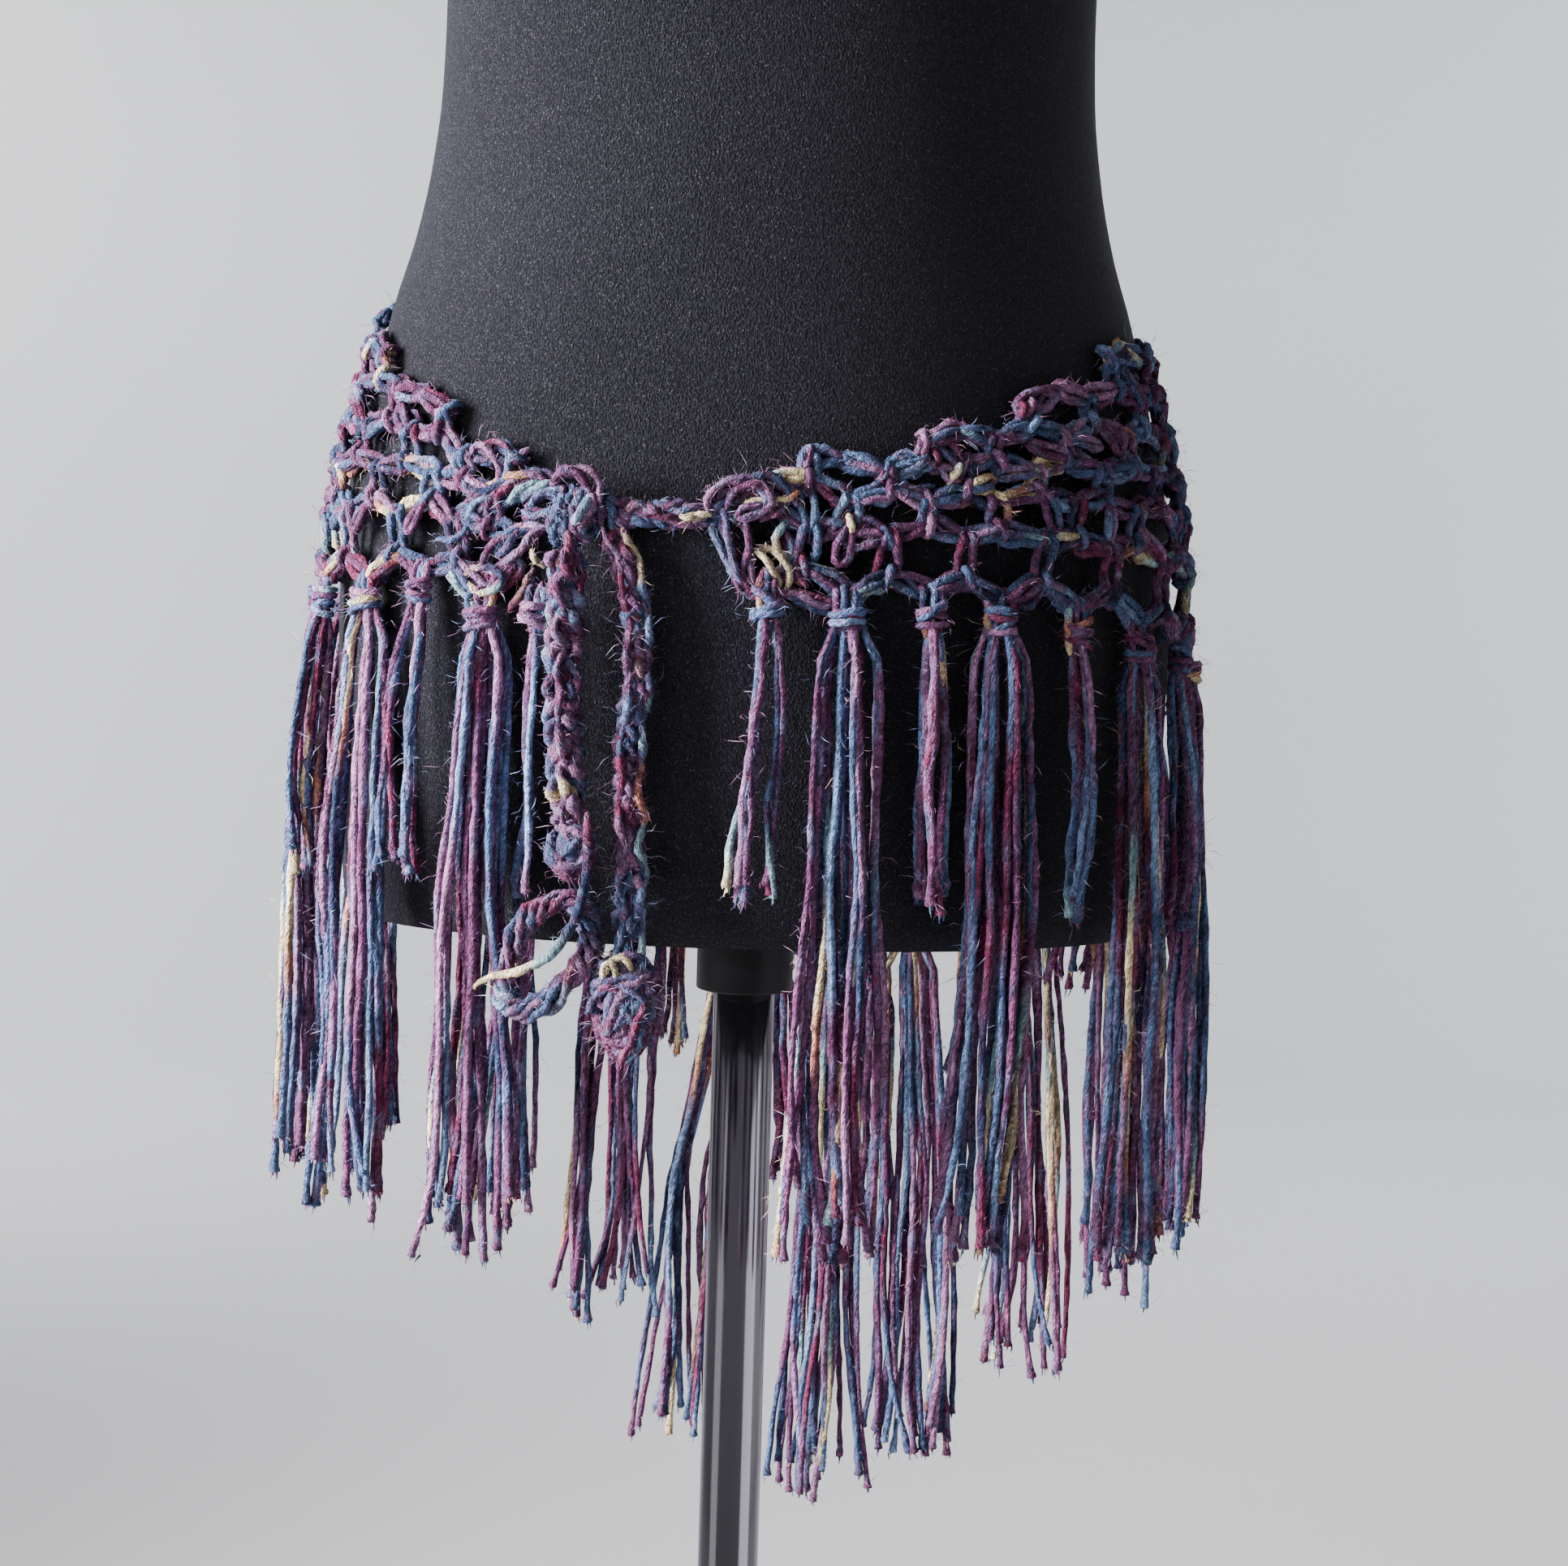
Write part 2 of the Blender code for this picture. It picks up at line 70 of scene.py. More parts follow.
# height from the waist, half width, depth forward, depth back
FORM_ROWS = np.array([
    (-365, 163.0, 104, 112), (-362, 165.0, 105.5, 113.5), (-330, 167.0, 109, 119),
    (-290, 168.5, 112, 124), (-250, 169.0, 113, 126), (-200, 166.5, 113, 124),
    (-160, 158.0, 111, 117), (-121, 148.5, 107.5, 109), (-95, 140.5, 104.5, 104),
    (-68, 134.8, 101.5, 97), (-35, 131.0, 97.5, 91), (0, 130.0, 95, 87),
    (60, 133.5, 99, 88), (110, 141, 110, 92), (160, 150, 122, 96),
    (205, 157, 126, 99), (250, 160, 119, 100), (310, 165, 98, 96),
    (350, 167, 80, 86), (380, 152, 66, 74), (402, 118, 58, 66),
    (422, 78, 54, 60), (440, 57, 53, 57), (484, 53, 51, 54)], float)

# columns of the net from centre back to a row's end, top row first
ROW_SPAN = (8.5, 10.0, 11.5, 13.0, 14.5, 14.0, 5.5, 4.0, 3.5, 3.0, 2.5, 2.0, 1.5, 1.0, 0.5)
LEVEL_ROW = 6                   # the row line that is the level lower edge
CELL_SLANT = 0.15               # rise of a bar from post to tip, in rows
FOOT_ROW = 1.0                  # height that the lowest rows are taller by in all, in rows
BACK_ROW_H = 20.3               # height of the rows of the point at the back
BAR_HALF = 3.2
APEX_ARC = 414.0                # the belt's own centre back, round the form from centre front
# column and its distance from centre back, right and left
COLUMNS_R = np.array([(0.0, 0.0), (8.5, 266.0), (9.5, 297.0), (10.5, 328.0), (11.5, 353.0),
                      (12.5, 381.5), (13.0, 395.0), (13.5, 408.0), (14.0, 416.5), (14.5, 423.0)])
COLUMNS_L = np.array([(0.0, 0.0), (8.5, 268.0), (9.5, 303.0), (10.5, 337.0), (11.5, 365.0),
                      (12.5, 391.0), (13.0, 401.0), (13.5, 409.5), (14.0, 416.5), (14.5, 423.0)])
# distance from centre back, height of the lower edge there, row height: alike behind, then each side's
EDGE_BACK = ((0, -217, 16.7), (60, -219, 16.9), (107, -226, 17.1), (135, -233, 17.2),
             (177, -240, 17.1))
EDGE_R = np.array([*EDGE_BACK, (210, -239, 16.0), (251, -233, 14.6), (291, -227, 12.8),
                   (330, -225, 11.4), (352, -224.5, 10.5), (381, -228, 11.0), (408, -225, 12.0),
                   (423, -226, 12.0)], float)
EDGE_L = np.array([*EDGE_BACK, (210, -240, 16.0), (251, -236, 15.0), (303, -236, 14.6),
                   (338, -234.5, 13.8), (365, -229.5, 11.4), (391, -237, 11.2), (410, -234, 11.8),
                   (423, -232, 12.5)], float)
BELT_TILT = 8.0                 # how much lower the belt sits at one side than at the middle
AIR, HANGING_AIR = 0.75, 2.6    # between the net and the form
# column, row line, side of it, long or short
TASSELS = ((13.5, 6, 1, 0), (12.5, 6, 1, 1), (11.5, 6, 1, 0), (10.5, 6, 1, 1),
           (9.5, 6, 1, 0), (8.5, 6, 1, 1), (7.5, 6, 1, 0), (6.5, 6, 1, 1), (5.0, 7, 1, 0),
           (4.0, 8, -1, 1), (3.5, 9, -1, 0), (2.5, 11, -1, 1), (2.0, 12, -1, 0),
           (1.0, 14, -1, 1), (0.5, 15, -1, 0), (0.0, 15, 1, 1))
LONG, LONG_BACK, SHORT = 223.0, 242.0, 98.0     # lengths of the tassels
# tie: distance round the form from centre front, height from the waist, distance off the form
BRIDGE = ((-51.0, -203, 5.4), (-42, -205.5, 5.4), (-24, -206, 5.4), (-13.9, -204.5, 5.4))
WRAP_AT = (-59.5, -208.0, 11.0)
TAIL_L = ((-60.4, -220.4, 13.6), (-60.8, -250, 13.6), (-59.8, -290, 12.7), (-57.4, -318, 12.6))
TAIL_R = ((-47.2, -211.2, 6.6), (-45.6, -217.5, 6.8), (-39.6, -235, 7.2), (-37.6, -268, 8.0),
          (-39.6, -297, 8.4), (-37.6, -338, 9.2), (-37.6, -371, 10.0))
TAIL_L_R, TAIL_R_R = 6.6, 5.4
KNOT_L = ((-56.4, -328.1, 12.8), (8.4, 9.6, 7.4))
KNOT_R = ((-37.5, -386.5, 11.0), (12.0, 15.0, 9.0))
LOOP_AT, LOOP_HALF, LOOP_SKEW = (-63.6, -362.9, 14.8), (12.4, 22.8), 7.0


# ------------------------------------------------------------------ arrays and curves
def unit(v):
    """Vectors divided by their own length."""
    return v / np.maximum(np.linalg.norm(v, axis=-1, keepdims=True), 1e-12)


def ease(x):
    """0 to 1 with flat ends: x squared times three minus two x."""
    x = np.clip(x, 0.0, 1.0)
    return x * x * (3 - 2 * x)


def run_of(path):
    """Length along each path up to each of its points."""
    step = np.linalg.norm(np.diff(path, axis=-2), axis=-1)
    return np.concatenate([np.zeros_like(step[..., :1]), np.cumsum(step, axis=-1)], axis=-1)


def left_of(way):
    """Directions on the flat belt turned a quarter to the left."""
    return np.stack([-way[..., 1], way[..., 0]], axis=-1)


def between_rows(rows, step=3.0):
    """Rows every few mm of height: a cubic between given rows, whose slope at a row is the harmonic
    mean of the slopes beside it, or 0 where they differ in sign, so that it never overshoots."""
    z, y = rows[:, 0], rows[:, 1:]
    gap = np.diff(z)[:, None]
    slope = np.diff(y, axis=0) / gap
    both = slope[:-1] * slope[1:]
    m = np.zeros_like(y)
    m[1:-1] = np.where(both > 0, 2 * both / np.where(both > 0, slope[:-1] + slope[1:], 1.0), 0.0)
    m[0], m[-1] = slope[0], slope[-1]
    out = np.unique(np.concatenate([np.arange(z[0], z[-1], step), z]))
    i = np.clip(np.searchsorted(z, out, side="right") - 1, 0, len(z) - 2)
    t, h = ((out - z[i]) / gap[i, 0])[:, None], gap[i]
    value = ((2 * t ** 3 - 3 * t ** 2 + 1) * y[i] + (t ** 3 - 2 * t ** 2 + t) * h * m[i]
             + (3 * t ** 2 - 2 * t ** 3) * y[i + 1] + (t ** 3 - t ** 2) * h * m[i + 1])
    return np.column_stack([out, value])


SECTIONS = between_rows(FORM_ROWS)


def on_form(theta, height, off, table=SECTIONS):
    """Point in mm on a superellipse: x = half width times sin to the power 2/p, y = minus depth times
    cos to that power, each with its own sign, off being added to the half axes."""
    theta, height, off = np.broadcast_arrays(theta, height, off)
    half, front, back = (np.interp(height, table[:, 0], table[:, i]) + off for i in (1, 2, 3))
    s, c, k = np.sin(theta), np.cos(theta), 2.0 / FORM_POWER
    return np.stack([np.sign(s) * np.abs(s) ** k * half,
                     -np.sign(c) * np.abs(c) ** k * np.where(c > 0, front, back),
                     WAIST_Z + height], axis=-1)


THETAS = np.linspace(-math.pi, math.pi, 1201)
ARCS = run_of(on_form(THETAS, ARC_Z - WAIST_Z, 0.0, FORM_ROWS))
GIRTH = float(ARCS[-1])
ARCS = ARCS - np.interp(0.0, THETAS, ARCS)


def angle_at(arc):
    """The form's angle at a distance round it from centre front, mm."""
    return np.interp((np.asarray(arc, float) + GIRTH / 2) % GIRTH - GIRTH / 2, ARCS, THETAS)


def at(arc, z, off):
    """Metres from a distance round the form, a height from the waist and a distance off the form."""
    arc, z, off = np.broadcast_arrays(arc, z, off)
    p = on_form(angle_at(arc), np.maximum(z, HANG_BELOW), off)
    p[..., 2] = WAIST_Z + z
    return p * MM


def belt(u, z, off):
    """As at(), from the belt's own centre back, with the little air that it keeps from the form: more
    where it hangs free below the hips, but not near its front ends."""
    down = ease((-120.0 - z) / 120.0)
    front = np.clip((np.abs(u) - 320.0) / 90.0, 0.0, 1.0)
    return at(APEX_ARC - u, z, off + AIR + HANGING_AIR * down * (1 - front))


def route(points, n):
    """n points evenly along the Catmull-Rom curve through the given ones."""
    p = np.array(points, float)
    p = np.vstack([2 * p[0] - p[1], p, 2 * p[-1] - p[-2]])
    a, b, c, d = (x[:, None, :] for x in (p[:-3], p[1:-2], p[2:-1], p[3:]))
    t = np.linspace(0, 1, 24, endpoint=False)[None, :, None]
    out = 0.5 * (2 * b + (c - a) * t + (2 * a - 5 * b + 4 * c - d) * t ** 2
                 + (3 * b - a - 3 * c + d) * t ** 3)
    out = np.vstack([out.reshape(-1, 3), p[-2:-1]])
    s = run_of(out)
    e = np.linspace(0, s[-1], n)
    return np.stack([np.interp(e, s, out[:, k]) for k in range(3)], axis=1)


# ------------------------------------------------------------------ lattice of the net
def column_arc(column):
    """A column's distance from centre back, with its own sign, mm."""
    table = COLUMNS_R if column > 0 else COLUMNS_L
    return math.copysign(float(np.interp(abs(column), table[:, 0], table[:, 1])), column)


def flat(column, line, part):
    """A lattice point on the belt laid flat: distance from its centre back and height, mm."""
    u = column_arc(column)
    n = LEVEL_ROW - line - part
    edge = EDGE_R if u > 0 else EDGE_L
    level, row = (float(np.interp(abs(u), edge[:, 0], edge[:, i])) for i in (1, 2))
    z = level + row * (n + FOOT_ROW * (1 - math.exp(-1.5 * n))) if n > 0 else level + BACK_ROW_H * n
    return np.array([u, z - BELT_TILT * math.sin(float(angle_at(APEX_ARC - u)))])


def corners_of_cell(k, c):
    """The six lattice points round a cell, each as column, row line and part of a row above it."""
    t = CELL_SLANT
    return [(c, k, -t), (c + .5, k, t), (c + .5, k + 1, -t), (c, k + 1, t),
            (c - .5, k + 1, -t), (c - .5, k, t)]


CELLS = [(k, -half + .5 + i) for k, half in enumerate(ROW_SPAN) for i in range(round(2 * half))]
NODE = {q: flat(*q) for cell in CELLS for q in corners_of_cell(*cell)}


def border():
    """The net's outermost edges, and where its border is, half a bar outside their lattice points."""
    edges = {}
    for cell in CELLS:
        q = corners_of_cell(*cell)
        for i in range(6):
            edges[(q[i], q[(i + 1) % 6])] = True
    outer = [e for e in edges if (e[1], e[0]) not in edges]
    push = {}
    for a, b in outer:
        d = unit(NODE[b] - NODE[a])
        for q in (a, b):
            push.setdefault(q, []).append(left_of(d))
    moved = {}
    for q, sides in push.items():
        m = unit(sides[0] + sides[1])
        moved[q] = NODE[q] + m * BAR_HALF / max(float(m @ sides[0]), 0.75)
    return outer, moved


OUTER, BORDER = border()


# ------------------------------------------------------------------ yarn
SKEIN_MM, SKEIN_STEP = 30000, 2.0
DYE_NAMES = ("plum", "mauve", "denim", "sky", "wine", "navy", "cream", "aqua", "rust")
# share of the skein's stretches and their least and greatest length, mm
DYE_RUNS = ((0.25, 28, 80), (0.15, 24, 60), (0.24, 28, 75), (0.12, 18, 42), (0.11, 24, 62),
            (0.09, 22, 50), (0.078, 18, 46), (0.0, 9, 20), (0.0, 8, 16))
PLUM, MAUVE, DENIM, SKY, WINE, NAVY, CREAM, AQUA, RUST = range(9)
SLOTS = ("yarn_plum", "yarn_denim", "yarn_wine")
FRINGE_PAINTED_LIGHT = 1.18              # the loose strands' dyes are made paler by this share: painted light, for the extra light that hanging strands catch
FUZZ_PAINTED_GLOW = (0.16, 0.145, 0.18)                 # painted glow added to the colour of loose fibres, for the light that passes through them
# random seeds of the skein, the lattice's unevenness and the pieces
SEEDS = {"skein": 11, "lattice": 5, "tail_left": 21, "tail_right": 22, "loop": 41, "net": 51,
         "net_knots": 61, "bridge": 71, "wrap": 72, "tassels": 100}
KNOT_SEED, FUZZ_SEED = 10, 20                   # after a tail's own


def skein(dyes):
    """Colours along one long yarn: stretches of dye in random order and length, cream always between
    aqua and rust, blended at their joints by a running mean."""
    rng = np.random.default_rng(SEEDS["skein"])
    n = 1400
    share = np.array([r[0] for r in DYE_RUNS])
    pick = rng.choice(len(DYE_RUNS), n, p=share / share.sum())
    pale = np.flatnonzero(pick[1:-1] == CREAM) + 1
    pale = pale[np.diff(np.concatenate([[-9], pale])) > 2]
    pick[pick == CREAM] = PLUM
    pick[pale], pick[pale - 1], pick[pale + 1] = CREAM, AQUA, RUST
    low, high = (np.array([r[i] for r in DYE_RUNS], float)[pick] for i in (1, 2))
    ends = np.cumsum(low + (high - low) * rng.random(n))
    where = np.searchsorted(ends, np.arange(0, SKEIN_MM, SKEIN_STEP) % ends[-1])
    colours = np.array([tuple(getattr(dyes, name)) for name in DYE_NAMES])
    tone = 0.80 + 0.40 * rng.random((n, 1))
    run = (colours[pick] * tone)[where]
    kernel = np.hanning(9)[1:-1] / np.hanning(9)[1:-1].sum()
    return np.stack([np.convolve(run[:, i], kernel, mode="same") for i in range(3)], axis=1)


# share, length from and to, girth, lean along the strand, bent
FIBRES = ((0.48, 0.24, 0.52, 2.2, 2.3, False), (0.44, 0.40, 1.15, 1.15, 1.2, False),
          (0.21, 0.8, 2.8, 1.3, 0.9, True))
# faces of a straight fibre with three corners at its root and a tip, and of a bent one with three
# corners at its middle, a tip and a root
SPIKE = ((0, 1, 3), (1, 2, 3), (2, 0, 3), (2, 1, 0))
BENT = ((0, 1, 3), (1, 2, 3), (2, 0, 3), (1, 0, 4), (2, 1, 4), (0, 2, 4))
SPIN = 520.0                    # turn of the spun fibres round a strand, radians to the metre
BRUSH_WIDER, BRUSH_LENGTH = 0.38, 0.0026        # a cut end opens by this share, over this length in m
MARGIN_U, MARGIN_V = 0.01, 0.07                 # round a strand's cell of the map


class Yarn:
    """The strands of one piece: rings carried along paths, with their dye, fibre lines and own map."""

    def __init__(self, context, seed):
        self.yarn = context.scene.belt_yarn
        self.colours = skein(context.scene.belt_dyes)
        self.palette = np.array([tuple(getattr(context.scene.belt_dyes, n)) for n in DYE_NAMES])
        self.rng = np.random.default_rng(seed)
        self.points, self.dye, self.fibre = [], [], []
        self.quads, self.quad_map, self.quad_cell = [], [], []
        self.tris, self.tri_map, self.tri_cell = [], [], []
        self.count = self.cells = 0
        self.shape = []

    def dye_at(self, mm, shade):
        """The skein's colour at a length along it, or one dye of the palette where shade names it."""
        where = np.mod(mm, SKEIN_MM - 10) / SKEIN_STEP
        i = where.astype(int)
        f = (where - i)[..., None]
        colour = self.colours[i] * (1 - f) + self.colours[np.minimum(i + 1, len(self.colours) - 1)] * f
        if shade is not None:
            shade = np.broadcast_to(np.asarray(shade), mm.shape[:1])
            fixed = self.palette[np.maximum(shade, 0)][:, None, :]
            colour = np.where((shade >= 0)[:, None, None], fixed * 0.8 + colour * 0.2, colour)
        return colour

    def frames(self, path):
        """Tangent and two normals at each point. A fixed direction gives a first normal; the angle
        that it turns by, beside one carried without twist, is summed along the path and taken back."""
        t = unit(np.gradient(path, axis=1))
        n = unit(np.cross(t, np.cross(SKEW, t)))
        b = np.cross(t, n)
        t0, t1, n0 = t[:, :-1], t[:, 1:], n[:, :-1]
        both = t0 + t1
        carried = n0 - both * ((t1 * n0).sum(-1) / np.maximum(1 + (t0 * t1).sum(-1), 1e-6))[..., None]
        turn = np.arctan2((carried * b[:, 1:]).sum(-1), (carried * n[:, 1:]).sum(-1))
        turn = np.concatenate([np.zeros_like(turn[:, :1]), np.cumsum(turn, axis=1)], axis=1)
        cos, sin = np.cos(turn)[..., None], np.sin(turn)[..., None]
        return t, n * cos + b * sin, b * cos - n * sin

    def kinked(self, path, kink):
        """The path with small kinks: two sines of its length, across two fixed directions."""
        s = run_of(path)
        t = unit(np.gradient(path, axis=1))
        n = unit(np.cross(t, SKEW))
        phase = self.rng.random((4, len(path), 1)) * ROUND
        rate = self.rng.uniform(330, 520, (2, len(path), 1))
        a = np.sin(s * rate[0] + phase[0]) + 0.5 * np.sin(s * 890 + phase[1])
        b = np.sin(s * rate[1] + phase[2]) + 0.5 * np.sin(s * 760 + phase[3])
        inner = ease(np.minimum(s, s[:, -1:] - s) / 0.006)
        aside = a[..., None] * n + b[..., None] * np.cross(t, n)
        return path + (kink * MM * inner)[..., None] * aside

    def lay(self, path, radius, sides=7, shade=None, fluff=1.0, start=None, taper=0.5, lumps=0.12,
            rate=1.0, kink=0.0, cut=False, runs=None):
        """Lays strands on paths (strand, station, xyz) in metres. A ring's radius swells and thins
        along the strand by two sines, and round it by a ridge that turns with the spin. A cut end
        opens like a small brush instead of narrowing. Runs are dyes that follow each other at equal
        steps of the length, each a little early or late."""
        path = np.asarray(path, float)
        if kink:
            path = self.kinked(path, kink)
        count, stations = path.shape[:2]
        rng = self.rng
        s = run_of(path)
        t, n, b = self.frames(path)
        start = rng.random(count) * SKEIN_MM if start is None else np.asarray(start, float)
        phase = rng.random((count, 1)) * ROUND
        swell = 1 + lumps * (0.6 * np.sin(s * 310 + phase) + 0.4 * np.sin(s * 787 + 2.3 * phase))
        r = np.asarray(radius, float) * np.ones((count, 1))
        r = np.broadcast_to(r, (count, stations)) * swell * MM
        left = s[:, -1:] - s
        ends = (s if cut else np.minimum(s, left)) / (2.2 * r)
        brush = (BRUSH_WIDER if cut else 0.0) * np.exp(-(left / BRUSH_LENGTH) ** 2)
        r = r * (1 - taper * (1 - ease(ends))) * (1 + brush)
        angle = np.arange(sides) / sides * TURN
        spin = angle[None, None, :] + (s * SPIN)[..., None] + phase[..., None]
        rough = 1 + 0.05 * np.cos(2 * spin) + rng.normal(0, 0.075, (count, stations, sides))
        cos, sin = np.cos(angle)[None, None, :, None], np.sin(angle)[None, None, :, None]
        ring = path[:, :, None] \
            + (r[..., None] * rough)[..., None] * (cos * n[:, :, None] + sin * b[:, :, None])
        poles = np.stack([path[:, 0] - t[:, 0] * r[:, :1] * 0.6,
                          path[:, -1] + t[:, -1] * r[:, -1:] * (0.15 if cut else 0.6)], axis=1)
        colour = self.dye_at(start[:, None] + s / MM * rate, shade)
        if runs is not None:
            late = 0.5 * np.sin(s * 270 + rng.random((count, 1)) * ROUND) \
                + rng.normal(0, 0.3, (count, 1))
            spot = np.clip(s / s[:, -1:] * len(runs) - 0.5 + late, 0, len(runs) - 1)
            colour = self.palette[np.array(runs)[np.round(spot).astype(int)]] * 0.85 + colour * 0.15
        colour = colour * (0.86 + 0.28 * rng.random((count, 1, 1)))
        offset = rng.random((count, 1)) * 7
        fibre = np.stack(np.broadcast_arrays((s + offset)[..., None], r[..., None] * np.cos(spin),
                                             r[..., None] * np.sin(spin)), axis=-1)
        base = self.count
        grid = base + np.arange(count * stations * sides).reshape(count, stations, sides)
        faces, nxt = ring_faces(grid)
        self.quads.append(faces)
        u = np.broadcast_to((s / s[:, -1:])[..., None], (count, stations, sides))
        v = np.broadcast_to(np.arange(sides) / sides, (count, stations, sides))
        w = v + 1.0 / sides
        self.quad_map.append(np.stack([
            np.stack([u[:, :-1], v[:, :-1]], -1), np.stack([u[:, :-1], w[:, :-1]], -1),
            np.stack([u[:, 1:], w[:, 1:]], -1), np.stack([u[:, 1:], v[:, 1:]], -1)],
            axis=-2).reshape(-1, 4, 2))
        cell = self.cells + np.arange(count)
        self.quad_cell.append(np.repeat(cell, (stations - 1) * sides))
        first = base + count * stations * sides + 2 * np.arange(count)[:, None]
        j = np.arange(sides) / sides
        for end, a, c, u0, u1 in ((0, nxt[:, 0], grid[:, 0], 0.0, 0.015),
                                  (1, grid[:, -1], nxt[:, -1], 1.0, 0.985)):
            pole = np.broadcast_to(first + end, (count, sides))
            self.tris.append(np.stack([pole, a, c], axis=-1).reshape(-1, 3))
            place = np.array([[(u1, x + 0.5 / sides), (u0, x + 1.0 / sides), (u0, x)] for x in j])
            place = place if end == 0 else place[:, [0, 2, 1]]
            self.tri_map.append(np.tile(place, (count, 1, 1)))
            self.tri_cell.append(np.repeat(cell, sides))
        self.points += [ring.reshape(-1, 3), poles.reshape(-1, 3)]
        # flecks of another stretch's fibres, spun in, fewer where the strand is pale
        fleck = self.palette[rng.choice((PLUM, MAUVE, DENIM, WINE, NAVY, SKY), (count, stations, 1))]
        share = 0.60 * rng.random((count, stations, sides, 1)) ** 2.0
        share = share * (1 - 0.85 * ease((colour.mean(-1) - 0.22) / 0.25))[:, :, None, None]
        mottle = np.exp(rng.normal(0, 0.20, (count, stations, sides, 1)))
        marled = (colour[:, :, None] * (1 - share) + fleck * share) * mottle
        self.dye += [marled.reshape(-1, 3), colour[:, [0, -1]].reshape(-1, 3)]
        self.fibre += [fibre.reshape(-1, 3), fibre[:, [0, -1], 0].reshape(-1, 3)]
        self.count += count * (stations * sides + 2)
        laid = (path, s, r, t, n, b, colour)
        self.own_cells(laid)
        if fluff > 0:
            self.hairs(laid, cell, fluff)
        return laid

    def own_cells(self, laid):
        """Keeps a cell of the map for each strand, and notes how long strands are for their girth."""
        count = len(laid[0])
        self.shape.append((count, float(laid[1][:, -1].mean() / (TURN * laid[2].mean()))))
        self.cells += count

    def fuzz_of(self, laid, amount):
        """Loose fibres, in this piece, of strands that were laid in another."""
        cell = self.cells + np.arange(len(laid[0]))
        self.own_cells(laid)
        self.hairs(laid, cell, amount)

    def hairs(self, laid, cell, amount):
        """Loose fibres, rooted inside the strand: short thick tufts that lie along it, straight spikes,
        and longer ones, thickest in the middle, where they bend and droop."""
        rng = self.rng
        path, s, r, t, n, b, colour = laid
        total = float(s[:, -1].sum()) / MM
        for share, low, high, girth, lean, bent in FIBRES:
            count = int(total * self.yarn.fluff_per_mm * share * amount)
            if count < 1:
                continue
            p = rng.choice(len(path), count, p=s[:, -1] / s[:, -1].sum())
            spot = rng.random(count) * (path.shape[1] - 1.001)
            i = spot.astype(int)
            f = (spot - i)[:, None]
            root = path[p, i] * (1 - f) + path[p, i + 1] * f
            a = rng.random(count) * TURN
            out = n[p, i] * np.cos(a)[:, None] + b[p, i] * np.sin(a)[:, None]
            d = unit(out * rng.uniform(0.5, 1.2, (count, 1)) + t[p, i] * rng.normal(0, lean, (count, 1))
                     + rng.normal(0, 0.3, (count, 3)))
            long = (self.yarn.fluff_length * rng.uniform(low, high, count))[:, None]
            root = root + out * (r[p, i] * 0.70)[:, None]
            e1 = unit(np.cross(d, ASIDE))
            e2 = np.cross(d, e1)
            thick = self.yarn.fluff_thickness / 2 * girth * rng.uniform(0.7, 1.3, (count, 1))
            k = np.arange(3) * TURN / 3
            star = np.cos(k)[None, :, None] * e1[:, None] + np.sin(k)[None, :, None] * e2[:, None]
            if bent:
                middle = root + d * long * 0.5
                droop = unit(d + rng.normal(0, 0.65, (count, 3)) - np.array([0, 0, 0.35]))
                tip = middle + droop * long * 0.5
                rings = [middle[:, None] + thick[..., None] * star, tip[:, None], root[:, None]]
            else:
                rings = [root[:, None] + thick[..., None] * star, (root + d * long)[:, None]]
            corners = np.concatenate(rings, axis=1)
            size = corners.shape[1]
            v = self.count + np.arange(count * size).reshape(count, -1)
            self.points.append(corners.reshape(-1, 3))
            # painted glow: loose fibres are made paler, thin ones more so, for the light that passes
            # through them
            tint = np.array(FUZZ_PAINTED_GLOW) * rng.uniform(0.4, 1.2, (count, 1)) / girth
            painted_glow_colour = colour[p, i] * 0.95 + tint
            self.dye.append(np.repeat(painted_glow_colour[:, None], size, axis=1).reshape(-1, 3))
            self.fibre.append(np.repeat(root[:, None], size, axis=1).reshape(-1, 3))
            u0 = np.clip(spot / (path.shape[1] - 1), 0.02, 0.98)
            v0 = 0.15 + 0.7 * rng.random(count)
            mapped = np.stack([np.stack([u0 + du, v0 + dv], 1)
                               for du, dv in ((-0.006, -0.05), (0.006, -0.05), (0.0, 0.08))], axis=1)
            for a0, a1, a2 in BENT if bent else SPIKE:
                self.tris.append(np.stack([v[:, a0], v[:, a1], v[:, a2]], axis=1))
                self.tri_map.append(mapped)
                self.tri_cell.append(cell[p])
            self.count += v.size

    def build(self, name, slot=None, stands_for=()):
        """One object from all strands. Its map gives each strand a cell of one grid, as long and as
        narrow as strands are on average."""
        points = np.concatenate(self.points)
        quads, tris = np.concatenate(self.quads), np.concatenate(self.tris)
        counts, ratios = np.array(self.shape).T
        ratio = max(float((counts * ratios).sum() / counts.sum()), 1.0)
        across = max(1, math.ceil(math.sqrt(self.cells / ratio)))
        down = math.ceil(self.cells / across)

        def on_map(local, cell):
            x, y = (cell % across)[:, None], (cell // across)[:, None]
            return np.stack([(x + MARGIN_U + (1 - 2 * MARGIN_U) * local[..., 0]) / across,
                             (y + MARGIN_V + (1 - 2 * MARGIN_V) * local[..., 1]) / down], axis=-1)

